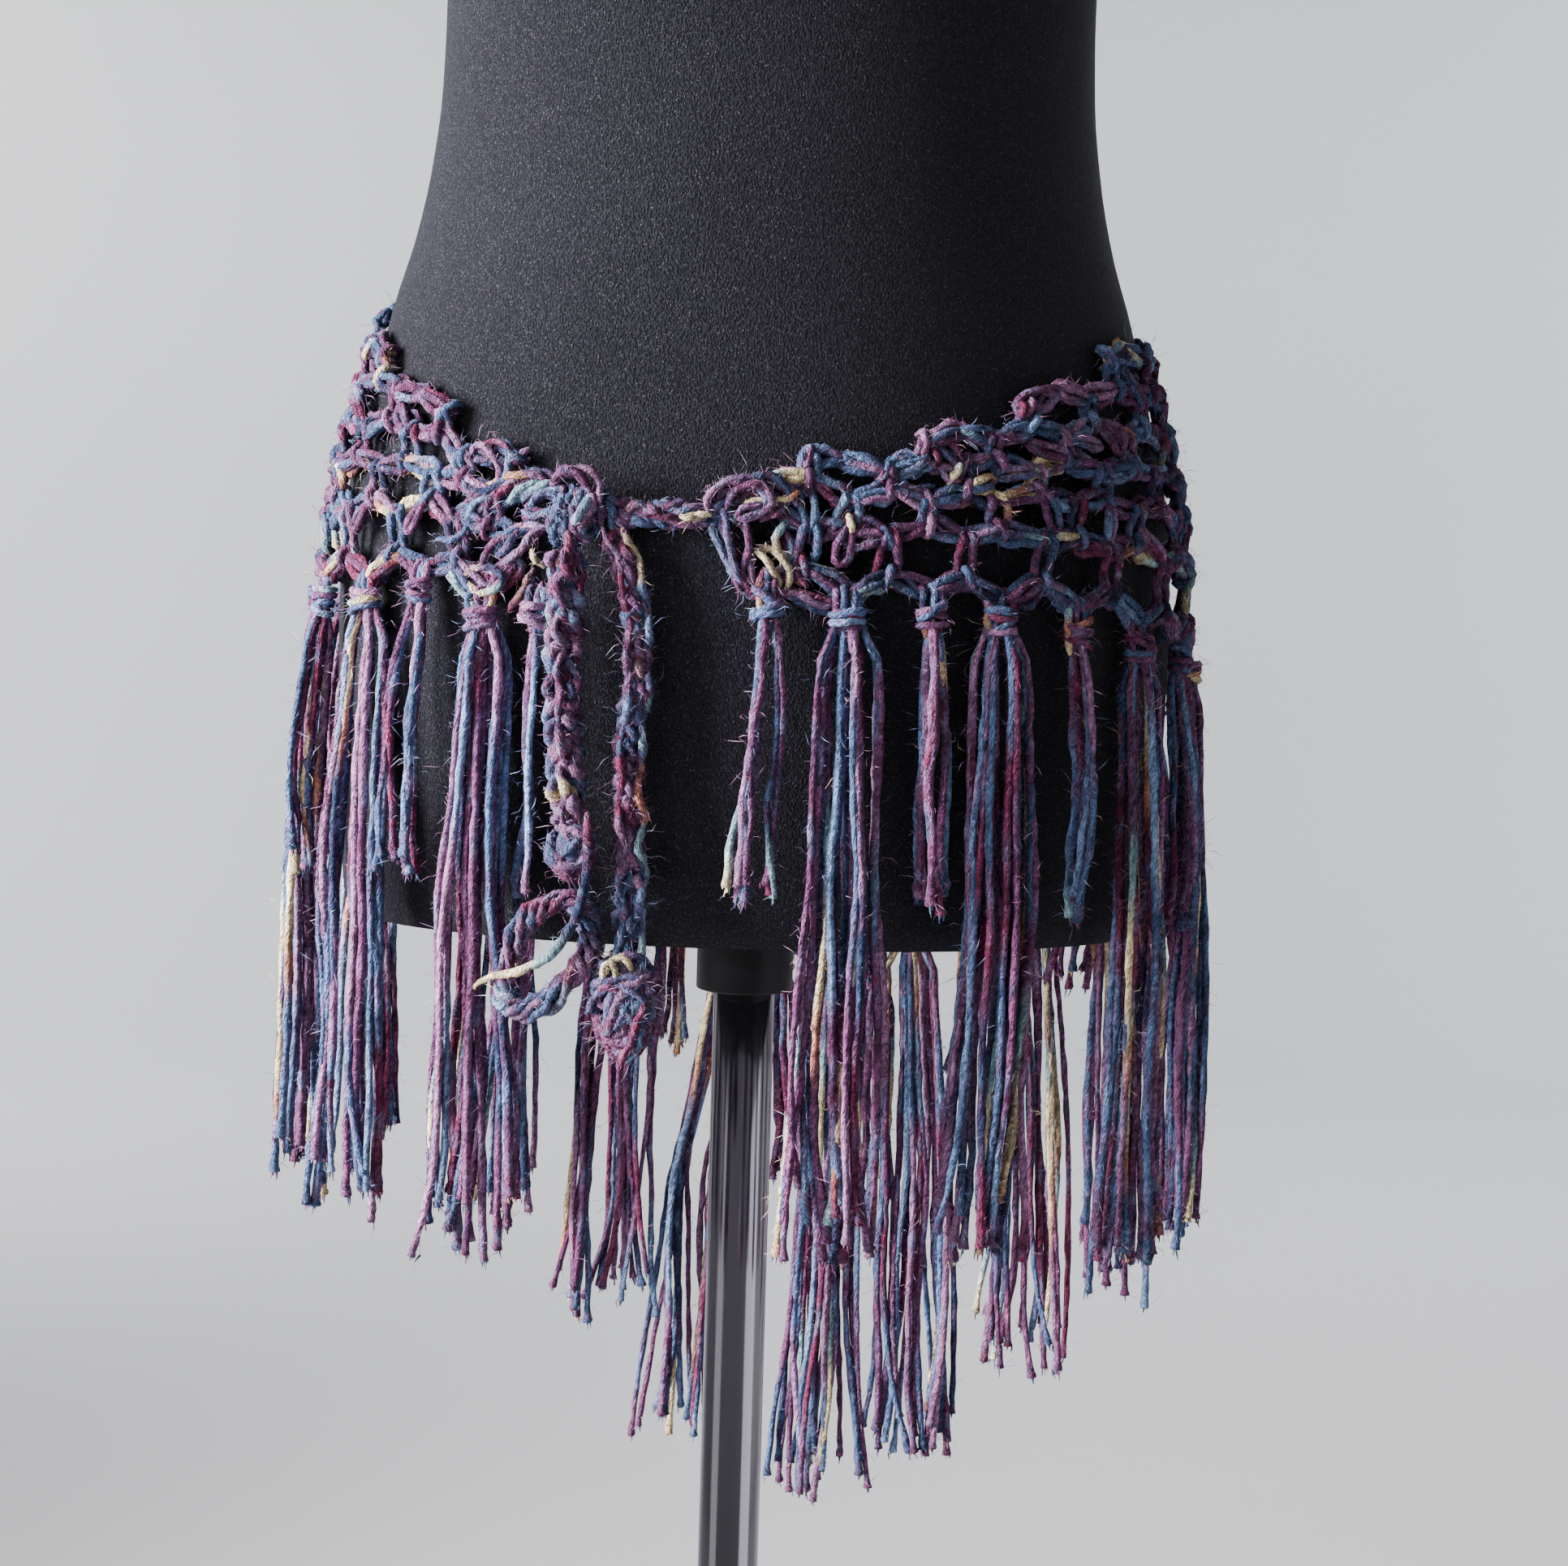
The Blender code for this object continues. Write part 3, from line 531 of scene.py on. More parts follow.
        places = [on_map(np.concatenate(self.quad_map), np.concatenate(self.quad_cell)),
                  on_map(np.concatenate(self.tri_map), np.concatenate(self.tri_cell))]
        me = new_mesh(name, points, quads, tris)
        me.uv_layers.new(name="OFBake", do_init=False).uv.foreach_set(
            "vector", np.concatenate([p.reshape(-1) for p in places]).astype(np.float32))
        dye = np.concatenate(self.dye)
        me.attributes.new("dye", "FLOAT_COLOR", "POINT").data.foreach_set(
            "color", np.column_stack([dye, np.ones(len(dye))]).astype(np.float32).ravel())
        me.attributes.new("fibre", "FLOAT_VECTOR", "POINT").data.foreach_set(
            "vector", np.concatenate(self.fibre).astype(np.float32).ravel())
        return place(me, name, material_of("variegated_yarn"), slot, stands_for)


def ring_faces(grid):
    """The four sided faces between closed rings of point numbers, and each point's next in its ring."""
    nxt = np.roll(grid, -1, axis=-1)
    low, high = (..., slice(None, -1), slice(None)), (..., slice(1, None), slice(None))
    return np.stack([grid[low], nxt[low], nxt[high], grid[high]], axis=-1).reshape(-1, 4), nxt


def new_mesh(name, points, quads, tris=None):
    """A smooth shaded mesh from whole arrays of points, four sided faces and three sided faces."""
    tris = np.zeros((0, 3), int) if tris is None else tris
    me = bpy.data.meshes.new(name)
    me.vertices.add(len(points))
    me.vertices.foreach_set("co", np.asarray(points, np.float32).ravel())
    me.loops.add(quads.size + tris.size)
    me.loops.foreach_set("vertex_index", np.concatenate([quads.ravel(), tris.ravel()]).astype(np.int32))
    me.polygons.add(len(quads) + len(tris))
    me.polygons.foreach_set("loop_start", np.concatenate([
        4 * np.arange(len(quads)), quads.size + 3 * np.arange(len(tris))]).astype(np.int32))
    me.update(calc_edges=True)
    if me.validate():
        raise RuntimeError(f"{name}: the mesh had faults")
    return me


def place(me, name, material, slot=None, stands_for=()):
    """Links a mesh as a piece of the object that rides on its one body."""
    me.materials.append(material)
    ob = bpy.data.objects.new(name, me)
    bpy.context.scene.collection.objects.link(ob)
    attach(ob, "root")
    if stands_for:
        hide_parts(*stands_for)
    return ob


# ------------------------------------------------------------------ shader maths
class Value:
    """An output socket that takes part in Python expressions. Numbers meet in Math nodes, colours and
    vectors in Vector Math nodes."""

    def __init__(self, surface, socket):
        self.surface, self.socket = surface, socket

    def is_wide(self):
        return self.socket.type in ("VECTOR", "RGBA")

    def join(self, other, number, wide, swapped=False):
        a, b = (other, self) if swapped else (self, other)
        if self.is_wide() or isinstance(other, tuple) or (isinstance(other, Value) and other.is_wide()):
            narrow = [x for x in (a, b)
                      if not isinstance(x, tuple) and not (isinstance(x, Value) and x.is_wide())]
            if wide == "MULTIPLY" and narrow:
                thick = b if narrow[0] is a else a
                return self.surface.node("ShaderNodeVectorMath", {"operation": "SCALE"},
                                         {0: thick, "Scale": narrow[0]})
            a, b = ((x, x, x) if isinstance(x, (int, float)) else x for x in (a, b))
            return self.surface.node("ShaderNodeVectorMath", {"operation": wide}, {0: a, 1: b})
        return self.surface.node("ShaderNodeMath", {"operation": number}, {0: a, 1: b})

    def __add__(self, other):
        return self.join(other, "ADD", "ADD")

    def __sub__(self, other):
        return self.join(other, "SUBTRACT", "SUBTRACT")

    def __rsub__(self, other):
        return self.join(other, "SUBTRACT", "SUBTRACT", swapped=True)

    def __mul__(self, other):
        return self.join(other, "MULTIPLY", "MULTIPLY")

    __radd__, __rmul__ = __add__, __mul__

    def ramp(self, low, high):
        """0 below low, 1 above high, smooth between."""
        return self.surface.node("ShaderNodeMapRange", {"interpolation_type": "SMOOTHSTEP"},
                                 {0: self, 1: low, 2: high})


class Surface:
    """One procedural material, written as expressions."""

    def __init__(self, name):
        self.material = bpy.data.materials.new(name)
        self.material.use_nodes = True
        self.tree = self.material.node_tree
        self.tree.nodes.clear()
        self.output = self.tree.nodes.new("ShaderNodeOutputMaterial")

    def node(self, kind, settings=None, values=None, out=0):
        """Adds a node: settings first, then the values or links of its sockets."""
        node = self.tree.nodes.new(kind)
        for key, value in (settings or {}).items():
            setattr(node, key, value)
        for key, value in (values or {}).items():
            socket = node.inputs[key]
            if isinstance(value, Value):
                self.tree.links.new(value.socket, socket)
            elif socket.type == "RGBA" and len(value) == 3:
                socket.default_value = (*value, 1.0)
            else:
                socket.default_value = value
        return Value(self, node.outputs[out])

    def attribute(self, name, out):
        return self.node("ShaderNodeAttribute", {"attribute_name": name}, out=out)

    def place(self):
        return self.node("ShaderNodeTexCoord", out="Object")

    def noise(self, vector, scale, detail=2.0, rough=0.5):
        return self.node("ShaderNodeTexNoise", None,
                         {"Vector": vector, "Scale": scale, "Detail": detail, "Roughness": rough})

    def mix(self, factor, a, b):
        node = self.tree.nodes.new("ShaderNodeMix")
        node.data_type = "RGBA"
        for index, value in ((0, factor), (6, a), (7, b)):
            if isinstance(value, Value):
                self.tree.links.new(value.socket, node.inputs[index])
            elif isinstance(value, (tuple, list)):
                node.inputs[index].default_value = (*value[:3], 1.0)
            else:
                node.inputs[index].default_value = value
        return Value(self, node.outputs[2])

    def bump(self, height, strength, distance):
        return self.node("ShaderNodeBump", None,
                         {"Height": height, "Strength": strength, "Distance": distance})

    def finish(self, **sockets):
        """The Principled shader with these sockets, named as in Blender with _ for a space."""
        values = {key.replace("_", " "): value for key, value in sockets.items()}
        shader = self.node("ShaderNodeBsdfPrincipled", None, values)
        self.tree.links.new(shader.socket, self.output.inputs["Surface"])
        return self.material


def yarn_surface(context):
    """Single ply wool: the strand's own dye, light and dark fibres that turn round it with the spin,
    patches where they felt together, and a soft sheen."""
    m = Surface("variegated_yarn")
    dye, fibre = m.attribute("dye", "Color"), m.attribute("fibre", "Vector")
    streak = m.noise(fibre * (150.0, 900.0, 900.0), 1.0, 2.0, 0.6).ramp(0.33, 0.67)
    hair = m.noise(fibre * (420.0, 1500.0, 1500.0), 1.0, 2.0, 0.6).ramp(0.34, 0.68)
    felt = m.noise(fibre * (300.0, 420.0, 420.0), 1.0, 2.0).ramp(0.30, 0.72)
    light = 0.20 + streak * 0.56 + hair * 0.64 + felt * 0.38
    pale = (hair * streak).ramp(0.45, 0.95) * 0.06
    base = m.mix(pale, dye * light, (0.50, 0.42, 0.58))
    height = streak * 0.7 + felt * 0.5 + hair * 0.45
    return m.finish(Base_Color=base, Roughness=0.84 + hair * 0.14, Normal=m.bump(height, 1.0, 0.0017),
                    Sheen_Weight=0.05, Sheen_Roughness=0.5, Sheen_Tint=(0.86, 0.76, 0.94, 1.0),
                    Specular_IOR_Level=0.05)


def jersey_surface(context):
    """Fine black jersey: a grain of small stitches, a few pale specks and a soft sheen."""
    stand = context.scene.belt_stand
    m = Surface("black_jersey")
    spot = m.place()
    stitch = m.noise(spot * (1300.0, 1300.0, 900.0), 1.0, 1.0).ramp(0.34, 0.66)
    cloud = m.noise(spot, 14.0, 3.0)
    speck = m.noise(spot, 1500.0, 1.0).ramp(0.60, 0.76)
    dark, lit = tuple(x * 0.50 for x in stand.jersey), tuple(x * 1.55 for x in stand.jersey)
    base = m.mix(speck * 0.40, m.mix(stitch * 0.7 + cloud * 0.3, dark, lit), (0.120, 0.120, 0.135))
    return m.finish(Base_Color=base, Roughness=0.74 + stitch * 0.18, Normal=m.bump(stitch, 0.6, 0.0005),
                    Sheen_Weight=0.04, Sheen_Roughness=0.5, Sheen_Tint=(0.78, 0.80, 0.95, 1.0),
                    Specular_IOR_Level=0.12)


def chrome_surface(context):
    """Polished chrome with faint smears."""
    m = Surface("polished_chrome")
    spot = m.place()
    smear = m.noise(spot * (30.0, 30.0, 9.0), 1.0, 4.0, 0.6).ramp(0.45, 0.75)
    chrome = tuple(context.scene.belt_stand.chrome)
    return m.finish(Base_Color=m.mix(smear * 0.3, chrome, (0.22, 0.21, 0.235)), Metallic=1.0,
                    Roughness=0.12 + smear * 0.04)


def collar_surface(context):
    """Satin black moulding with a fine grain."""
    m = Surface("satin_black")
    spot = m.place()
    grain = m.noise(spot, 1800.0, 2.0)
    worn = m.noise(spot, 60.0, 3.0).ramp(0.5, 0.8)
    black = tuple(context.scene.belt_stand.collar)
    return m.finish(Base_Color=m.mix(worn * 0.5, black, (0.014, 0.014, 0.016)),
                    Roughness=0.46 + worn * 0.14, Normal=m.bump(grain, 0.25, 0.0003),
                    Specular_IOR_Level=0.25)


def floor_surface(context):
    """Plain pale paper."""
    m = Surface("pale_floor")
    cloud = m.noise(m.place(), 2.0, 3.0)
    pale = tuple(context.scene.belt_stage.floor)
    return m.finish(Base_Color=m.mix(cloud, pale, tuple(x * 0.97 for x in pale)), Roughness=0.85)


SURFACES = {"variegated_yarn": yarn_surface, "black_jersey": jersey_surface,
            "satin_black": collar_surface, "polished_chrome": chrome_surface,
            "pale_floor": floor_surface}


def material_of(name):
    """The named material, made at its first use."""
    return bpy.data.materials.get(name) or SURFACES[name](bpy.context)


# ------------------------------------------------------------------ what a user may change
class BeltYarn(PropertyGroup):
    """Yarn and how it is worked."""
    net_thickness: FloatProperty(name="Net yarn", description="Thickness of the yarn in the net",
                                 default=0.0035, min=0.001, max=0.01, unit="LENGTH")
    fringe_thickness: FloatProperty(name="Fringe yarn", description="Thickness of a fringe strand",
                                    default=0.0032, min=0.001, max=0.01, unit="LENGTH")
    long_strands: IntProperty(name="Long tassel", description="Strands in a long tassel",
                              default=20, min=4, max=24)
    short_strands: IntProperty(name="Short tassel", description="Strands in a short tassel",
                               default=9, min=3, max=12)
    fluff_length: FloatProperty(name="Fluff length", description="Length of a long loose fibre",
                                default=0.0042, min=0.0, max=0.02, unit="LENGTH")
    fluff_thickness: FloatProperty(name="Fluff thickness",
                                   description="Thickness of a loose fibre at its root",
                                   default=0.00017, min=0.00002, max=0.001, unit="LENGTH")
    fluff_per_mm: FloatProperty(name="Fluff per mm", default=0.62, min=0.0, max=5.0,
                                description="Loose fibres on each millimetre of strand")
    braid_pitch: FloatProperty(name="Braid pitch", default=0.025, min=0.008, max=0.08, unit="LENGTH",
                               description="Length in which a strand of the tie crosses over and back")


class BeltDyes(PropertyGroup):
    """Dyes of the variegated yarn."""
    plum: FloatVectorProperty(name="Plum", description="Main purple", subtype="COLOR",
                              default=(0.180, 0.060, 0.150))
    mauve: FloatVectorProperty(name="Mauve", description="Faded purple", subtype="COLOR",
                               default=(0.340, 0.160, 0.310))
    denim: FloatVectorProperty(name="Denim", description="Main blue", subtype="COLOR",
                               default=(0.082, 0.135, 0.275))
    sky: FloatVectorProperty(name="Sky", description="Faded blue", subtype="COLOR",
                             default=(0.190, 0.290, 0.500))
    wine: FloatVectorProperty(name="Wine", description="Dark red", subtype="COLOR",
                              default=(0.180, 0.028, 0.078))
    navy: FloatVectorProperty(name="Navy", description="Darkest blue", subtype="COLOR",
                              default=(0.026, 0.036, 0.090))
    cream: FloatVectorProperty(name="Cream", description="Palest, undyed stretch", subtype="COLOR",
                               default=(0.900, 0.730, 0.430))
    aqua: FloatVectorProperty(name="Aqua", description="Pale green blue beside the cream",
                              subtype="COLOR", default=(0.270, 0.460, 0.520))
    rust: FloatVectorProperty(name="Rust", description="Faded orange beside the cream", subtype="COLOR",
                              default=(0.600, 0.240, 0.150))


class BeltStand(PropertyGroup):
    """Finish of the dress form and its stand."""
    jersey: FloatVectorProperty(name="Jersey", description="Cover of the dress form", subtype="COLOR",
                                default=(0.0108, 0.0106, 0.0142))
    collar: FloatVectorProperty(name="Collar", description="Collar under the form", subtype="COLOR",
                                default=(0.005, 0.005, 0.006))
    chrome: FloatVectorProperty(name="Chrome", description="Tint of the pole and base", subtype="COLOR",
                                default=(0.25, 0.235, 0.26))


class BeltStage(PropertyGroup):
    """Floor, light and camera."""
    floor: FloatVectorProperty(name="Floor", description="Colour of the floor", subtype="COLOR",
                               default=(0.60, 0.61, 0.63))
    key: FloatProperty(name="Key light", description="Power of the large soft light at the left",
                       default=80.0, min=0.0, unit="POWER")
    wall: FloatProperty(name="Wall light", description="Power of the lights on the backdrop",
                        default=112.0, min=0.0, unit="POWER")
    card: FloatProperty(name="Card", default=11.0, min=0.0, unit="POWER",
                        description="Power of the card that the chrome mirrors at the right")
    fill: FloatProperty(name="Fill", description="Strength of the light from all round",
                        default=0.020, min=0.0)
    lens: FloatProperty(name="Lens", description="Focal length", default=54.037, min=10.0,
                        unit="CAMERA")


# ------------------------------------------------------------------ pieces
def stitches(a, b, width, off, rise, stations=14, tail=0.6, head=2.2):
    """Teardrop stitches from points a to b of the flat belt. Along: from the tail behind a to the head
    beyond b as half of one plus cosine. Across: width times sine times cosine of the half angle, which
    closes at the tail. Off the form: a hump nearest the tail, where it crosses the stitch before it."""
    d = b - a
    long = np.linalg.norm(d, axis=1)[:, None]
    e = d / long
    side = left_of(e)
    phi = np.linspace(-0.93 * math.pi, 0.93 * math.pi, stations)[None, :]
    p = (1 + np.cos(phi)) / 2
    x = -tail + (long + tail + head) * p
    y = 1.3 * width * np.sin(phi) * np.cos(phi / 2)
    flat_point = a[:, None] + e[:, None] * x[..., None] + side[:, None] * y[..., None]
    return flat_point, off + rise * np.sin(math.pi * p ** 0.6)


def net_edges(right):
    """The bars and posts of one half of the net, each once: row line, end points and whether it is on
    the border. Bars of every other row run the other way, as rows are worked to and fro."""
    rng = np.random.default_rng(SEEDS["lattice"])
    moved = {q: p + rng.normal(0, 0.75, 2) for q, p in NODE.items()}
    bars, posts = {}, {}
    for k, c in CELLS:
        if (c > 0) != right:
            continue
        q = corners_of_cell(k, c)
        for i, j in ((5, 0), (0, 1), (4, 3), (3, 2)):
            line = q[i][1]
            ends = (q[i], q[j]) if line % 2 else (q[j], q[i])
            bars[tuple(sorted(ends))] = (line, *ends)
        for i, j in ((5, 4), (1, 2)):
            posts[(q[i], q[j])] = (k, q[i], q[j])
    if right:                       # the post on the centre back is the left half's
        posts = {key: value for key, value in posts.items() if key[0][0] > 0}
    rows, rims = [], {tuple(sorted(e)) for e in OUTER}
    by_hand = 13.5 if right else 13.0   # beyond this column the ends are worked strand by strand
    for table in (bars, posts):
        found = [f for f in table.values() if min(abs(f[1][0]), abs(f[2][0])) < by_hand]
        rows.append((np.array([f[0] for f in found]), np.array([moved[f[1]] for f in found]),
                     np.array([moved[f[2]] for f in found]),
                     np.array([tuple(sorted(f[1:])) in rims for f in found])))
    return rows


def cloth_area(right):
    """Flat area of one half, as the sum of its cells, and the sides of the rectangle round it, m."""
    ring = np.array([[NODE[q] for q in corners_of_cell(k, c)] for k, c in CELLS if (c > 0) == right])
    x, y = ring[..., 0], ring[..., 1]
    area = np.abs((x * np.roll(y, -1, 1) - np.roll(x, -1, 1) * y).sum(1)).sum() / 2
    return area * 1e-6, np.ptp(x) * MM, np.ptp(y) * MM


# backdrop: end of the flat floor, radius of the sweep, height, in m; UNDER keeps it off the base
FLAT_TO, SWEEP, BACKDROP_H, UNDER, SIDES = 3.4, 1.2, 4.2, 0.0004, 96
CAMERA_AT, TILT, ROLL = (0.014, -0.970, 0.826), 4.2, -1.7
HIPS, POLE = (0, 0, 0.86), (0, 0, 0.5)
# area lights: place, what they face, size, setting and share of its power, tint
LAMPS = (
    ("key", (-1.83, -0.48, 1.22), HIPS, (0.9, 1.3), ("key", 1.0), (1.0, 0.985, 0.97)),
    ("fill", (-1.58, -1.50, 1.0), HIPS, (1.6, 1.6), ("key", 0.32), (1.0, 0.98, 0.98)),
    ("top", (-0.2, 0.0, 3.9), HIPS, (4.5, 4.5), ("key", 0.48), (1.0, 0.98, 0.97)),
    ("back", (0.5, 2.3, 1.9), HIPS, (1.2, 1.2), ("key", 0.11), (1.0, 0.97, 0.96)),
    ("card_right", (1.62, -0.95, 0.6), POLE, (1.3, 1.6), ("card", 1.0), (0.90, 0.92, 1.0)),
    ("card_left", (-1.62, -0.95, 0.6), POLE, (0.9, 1.6), ("card", 0.32), (1.0, 0.95, 0.97)),
    ("wall_left", (-1.9, 2.0, 2.2), (-0.9, 4.5, 0.9), (1.4, 1.0), ("wall", 1.0), (1.0, 1.0, 1.0)),
    ("wall_right", (1.9, 2.0, 2.2), (1.0, 4.5, 0.9), (1.4, 1.0), ("wall", 0.55), (0.95, 0.97, 1.0)),
)


class BELT_OT_stage(Operator):
    """Camera, pale floor that turns up into a backdrop, and soft studio light"""
    bl_idname = "belt.stage"
    bl_label = "Stage"

    def execute(self, context):
        stage = context.scene.belt_stage
        tilt, roll = math.radians(TILT), math.radians(ROLL)
        forward = Vector((0, math.cos(tilt), -math.sin(tilt)))
        right, up = Vector((1, 0, 0)), Vector((0, math.sin(tilt), math.cos(tilt)))
        axes = (math.cos(roll) * right - math.sin(roll) * up,
                math.sin(roll) * right + math.cos(roll) * up, -forward)
        data = bpy.data.cameras.new("camera")
        data.sensor_width, data.sensor_fit, data.lens = 36.0, "HORIZONTAL", stage.lens
        data.clip_start, data.clip_end = 0.05, 60.0
        camera = bpy.data.objects.new("camera", data)
        camera.matrix_world = Matrix.Translation(CAMERA_AT) @ Matrix(axes).transposed().to_4x4()
        context.scene.collection.objects.link(camera)
        context.scene.camera = camera

        # profile of the sweep: flat, a quarter circle, then straight up
        bend = np.linspace(0, math.pi / 2, 14)
        radius = np.concatenate([[0.02, 1.0, 2.2], FLAT_TO + SWEEP * np.sin(bend), [FLAT_TO + SWEEP]])
        height = np.concatenate([[0, 0, 0], SWEEP * (1 - np.cos(bend)), [BACKDROP_H]])
        turn = np.linspace(0, TURN, SIDES, endpoint=False)
        points = np.stack([radius[:, None] * np.cos(turn), radius[:, None] * np.sin(turn),
                           np.broadcast_to(height[:, None], (len(radius), SIDES)) - UNDER], axis=-1)
        grid = np.arange(points.shape[0] * SIDES).reshape(-1, SIDES)
        quads, nxt = ring_faces(grid)
        hub = np.stack([np.full(SIDES, grid.size), grid[0], nxt[0]], axis=-1)
        me = new_mesh("stage_floor", np.vstack([points.reshape(-1, 3), [[0, 0, -UNDER]]]),
                      quads[:, [0, 3, 2, 1]], hub)      # the rings widen, so the faces turn over
        me.materials.append(material_of("pale_floor"))
        floor = bpy.data.objects.new("stage_floor", me)
        context.scene.collection.objects.link(floor)

        for name, spot, aim, size, (setting, share), tint in LAMPS:
            lamp = bpy.data.lights.new(name, "AREA")
            lamp.shape, lamp.size, lamp.size_y = "RECTANGLE", *size
            lamp.energy, lamp.color = getattr(stage, setting) * share, tint
            lamp.spread = math.radians(84 if name == "key" else 180)
            ob = bpy.data.objects.new(name, lamp)
            ob.location = spot
            ob.rotation_euler = (Vector(aim) - Vector(spot)).to_track_quat("-Z", "Y").to_euler()
            # the chrome doesn't see the key and the fill, and the cards are there for the chrome alone
            ob.visible_glossy = name not in ("key", "fill")
            ob.visible_diffuse = not name.startswith("card")
            context.scene.collection.objects.link(ob)

        world = bpy.data.worlds.new("studio")
        world.use_nodes = True
        sky = world.node_tree.nodes["Background"]
        sky.inputs["Color"].default_value = (0.88, 0.84, 0.86, 1.0)
        sky.inputs["Strength"].default_value = stage.fill
        context.scene.world = world
        return {"FINISHED"}


def braid(yarn, points, n, half, depth, pitch, radius, runs, strands=3, fluff=1.0, fuzz=None):
    """Strands that cross over and back about a route: across by a sine of the length, off the form by
    a shallower sine at twice the rate, the strands evenly out of step, with the pitch and width
    wandering a little. Each is a pair that turns about itself, and a thicker core fills the middle.
    Loose fibres go to the piece given as fuzz."""
    rng, curl = yarn.rng, radius * 0.55
    line = route(points, n)
    side = left_of(unit(np.gradient(line[:, :2], axis=0)))
    s = run_of(line)
    wander = 0.5 * np.sin(s / 19.0 + rng.random() * 6) + 0.3 * np.sin(s / 7.3 + rng.random() * 6)
    phase = (TURN * s / pitch + wander)[None, :] + TURN * np.arange(strands)[:, None] / strands
    breathe = 0.86 + 0.16 * np.sin(TURN * s / 15.5 + 1.0 + 0.8 * np.sin(s / 17.0))
    across, out = half * breathe * np.sin(phase), depth * np.sin(2 * phase)
    turn = (s / 5.5 + 0.6 * np.sin(s / 11.0))[None, :] + np.arange(strands)[:, None]
    pairs = []
    for sign in (1.0, -1.0):
        x = across + sign * curl * np.cos(turn)
        pairs.append(at(line[:, 0] + side[:, 0] * x, line[:, 1] + side[:, 1] * x,
                        line[:, 2] + out + sign * curl * np.sin(turn)))
    laid = yarn.lay(np.concatenate(pairs), radius * 0.74, 6, taper=0.4, fluff=fluff, kink=0.5,
                    lumps=0.3, runs=runs)
    core = at(*line.T)
    yarn.lay(core[None], radius * 1.15, 7, taper=0.5, fluff=0.0, kink=0.3, lumps=0.2,
             runs=[NAVY, PLUM, WINE] * 4)
    if fuzz:
        fuzz.fuzz_of(laid, 2.4)


# dyes along the two tails, from the top
TAIL_RUNS = {
    "left": (PLUM, WINE, DENIM, SKY, PLUM, MAUVE, DENIM, NAVY,
             PLUM, MAUVE, DENIM, WINE, MAUVE, DENIM, CREAM, MAUVE),
    "right": (WINE, MAUVE, PLUM, DENIM, MAUVE, PLUM, DENIM, NAVY,
              WINE, MAUVE, WINE, PLUM, MAUVE, DENIM, DENIM, SKY)}
# side strands of the two tails: across, off, dyes, how often they weave
ACCENTS = {
    "left": ((-4.3, 0.0, (SKY, SKY, AQUA, DENIM, SKY, DENIM, SKY), 26),
             (4.4, -0.5, (WINE, PLUM, NAVY, PLUM), 31),
             (0.5, 4.2, (PLUM, WINE, MAUVE, DENIM, PLUM, NAVY, MAUVE, CREAM, PLUM), 37)),
    "right": ((4.4, 0.5, (CREAM, SKY, NAVY, AQUA, DENIM, RUST, AQUA, SKY, AQUA), 44),
              (-1.5, 3.4, (MAUVE, WINE, PLUM, DENIM, WINE, MAUVE, DENIM), 39))}


class BELT_OT_tie_tails(Operator):
    """The two free ends of the tie, as braided cords, with their end knots and the loop of yarn"""
    bl_idname = "belt.tie_tails"
    bl_label = "Tie Ends"

    def execute(self, context):
        pitch = context.scene.belt_yarn.braid_pitch / MM
        for side, points, r, (spot, half), (turns, tight, higher, taller), slot, other in (
                ("left", TAIL_L, TAIL_L_R, KNOT_L, (34, 1.15, 0.0, 1.2), *SLOTS[1::-1]),
                ("right", TAIL_R, TAIL_R_R, KNOT_R, (84, 0.95, 3.0, 1.42), *SLOTS[:2])):
            yarn, fuzz, knot = (Yarn(context, SEEDS["tail_" + side] + more)
                                for more in (0, FUZZ_SEED, KNOT_SEED))
            strand = r * 0.41
            braid(yarn, points, 84, r - strand - 0.1, r * 0.28, pitch * tight, strand * 1.06,
                  TAIL_RUNS[side], fluff=0.0, fuzz=fuzz)
            tail = yarn.build("tie_tail_%s_cord" % side, slot, ("tie_tail_" + side,))
            self.accents(fuzz, points, ACCENTS[side])
            pieces = [fuzz.build("tie_tail_%s_fuzz" % side, slot)]
            wind_knot(knot, (spot[0], spot[1] + higher, spot[2]),
                      np.array(half) * (1.0, taller, 1.0) + 0.8, turns)
            if side == "right":
                end_strands(knot, KNOT_STRANDS, 1.7)
            pieces.append(knot.build("knot_" + side, other, ("tail_knot_" + side,)))
            if side == "left":
                pieces.append(yarn_loop(context))
            line = at(*route(points, 33).T)
            length = float(run_of(line)[-1])
        return {"FINISHED"}

    def accents(self, yarn, points, table, stations=60):
        """Thin strands that run down beside and over the braid, in and out of it."""
        x, z, off = route(points, stations).T
        s = np.linspace(0, 1, stations)
        for across, high, runs, rate in table:
            path = at(x + across + 0.8 * np.sin(s * rate + across), z,
                      off + high + 1.3 * np.cos(s * rate * 1.2))
            yarn.lay(path[None], 1.5, 6, taper=0.4, kink=0.4, fluff=1.6, runs=runs, lumps=0.4)


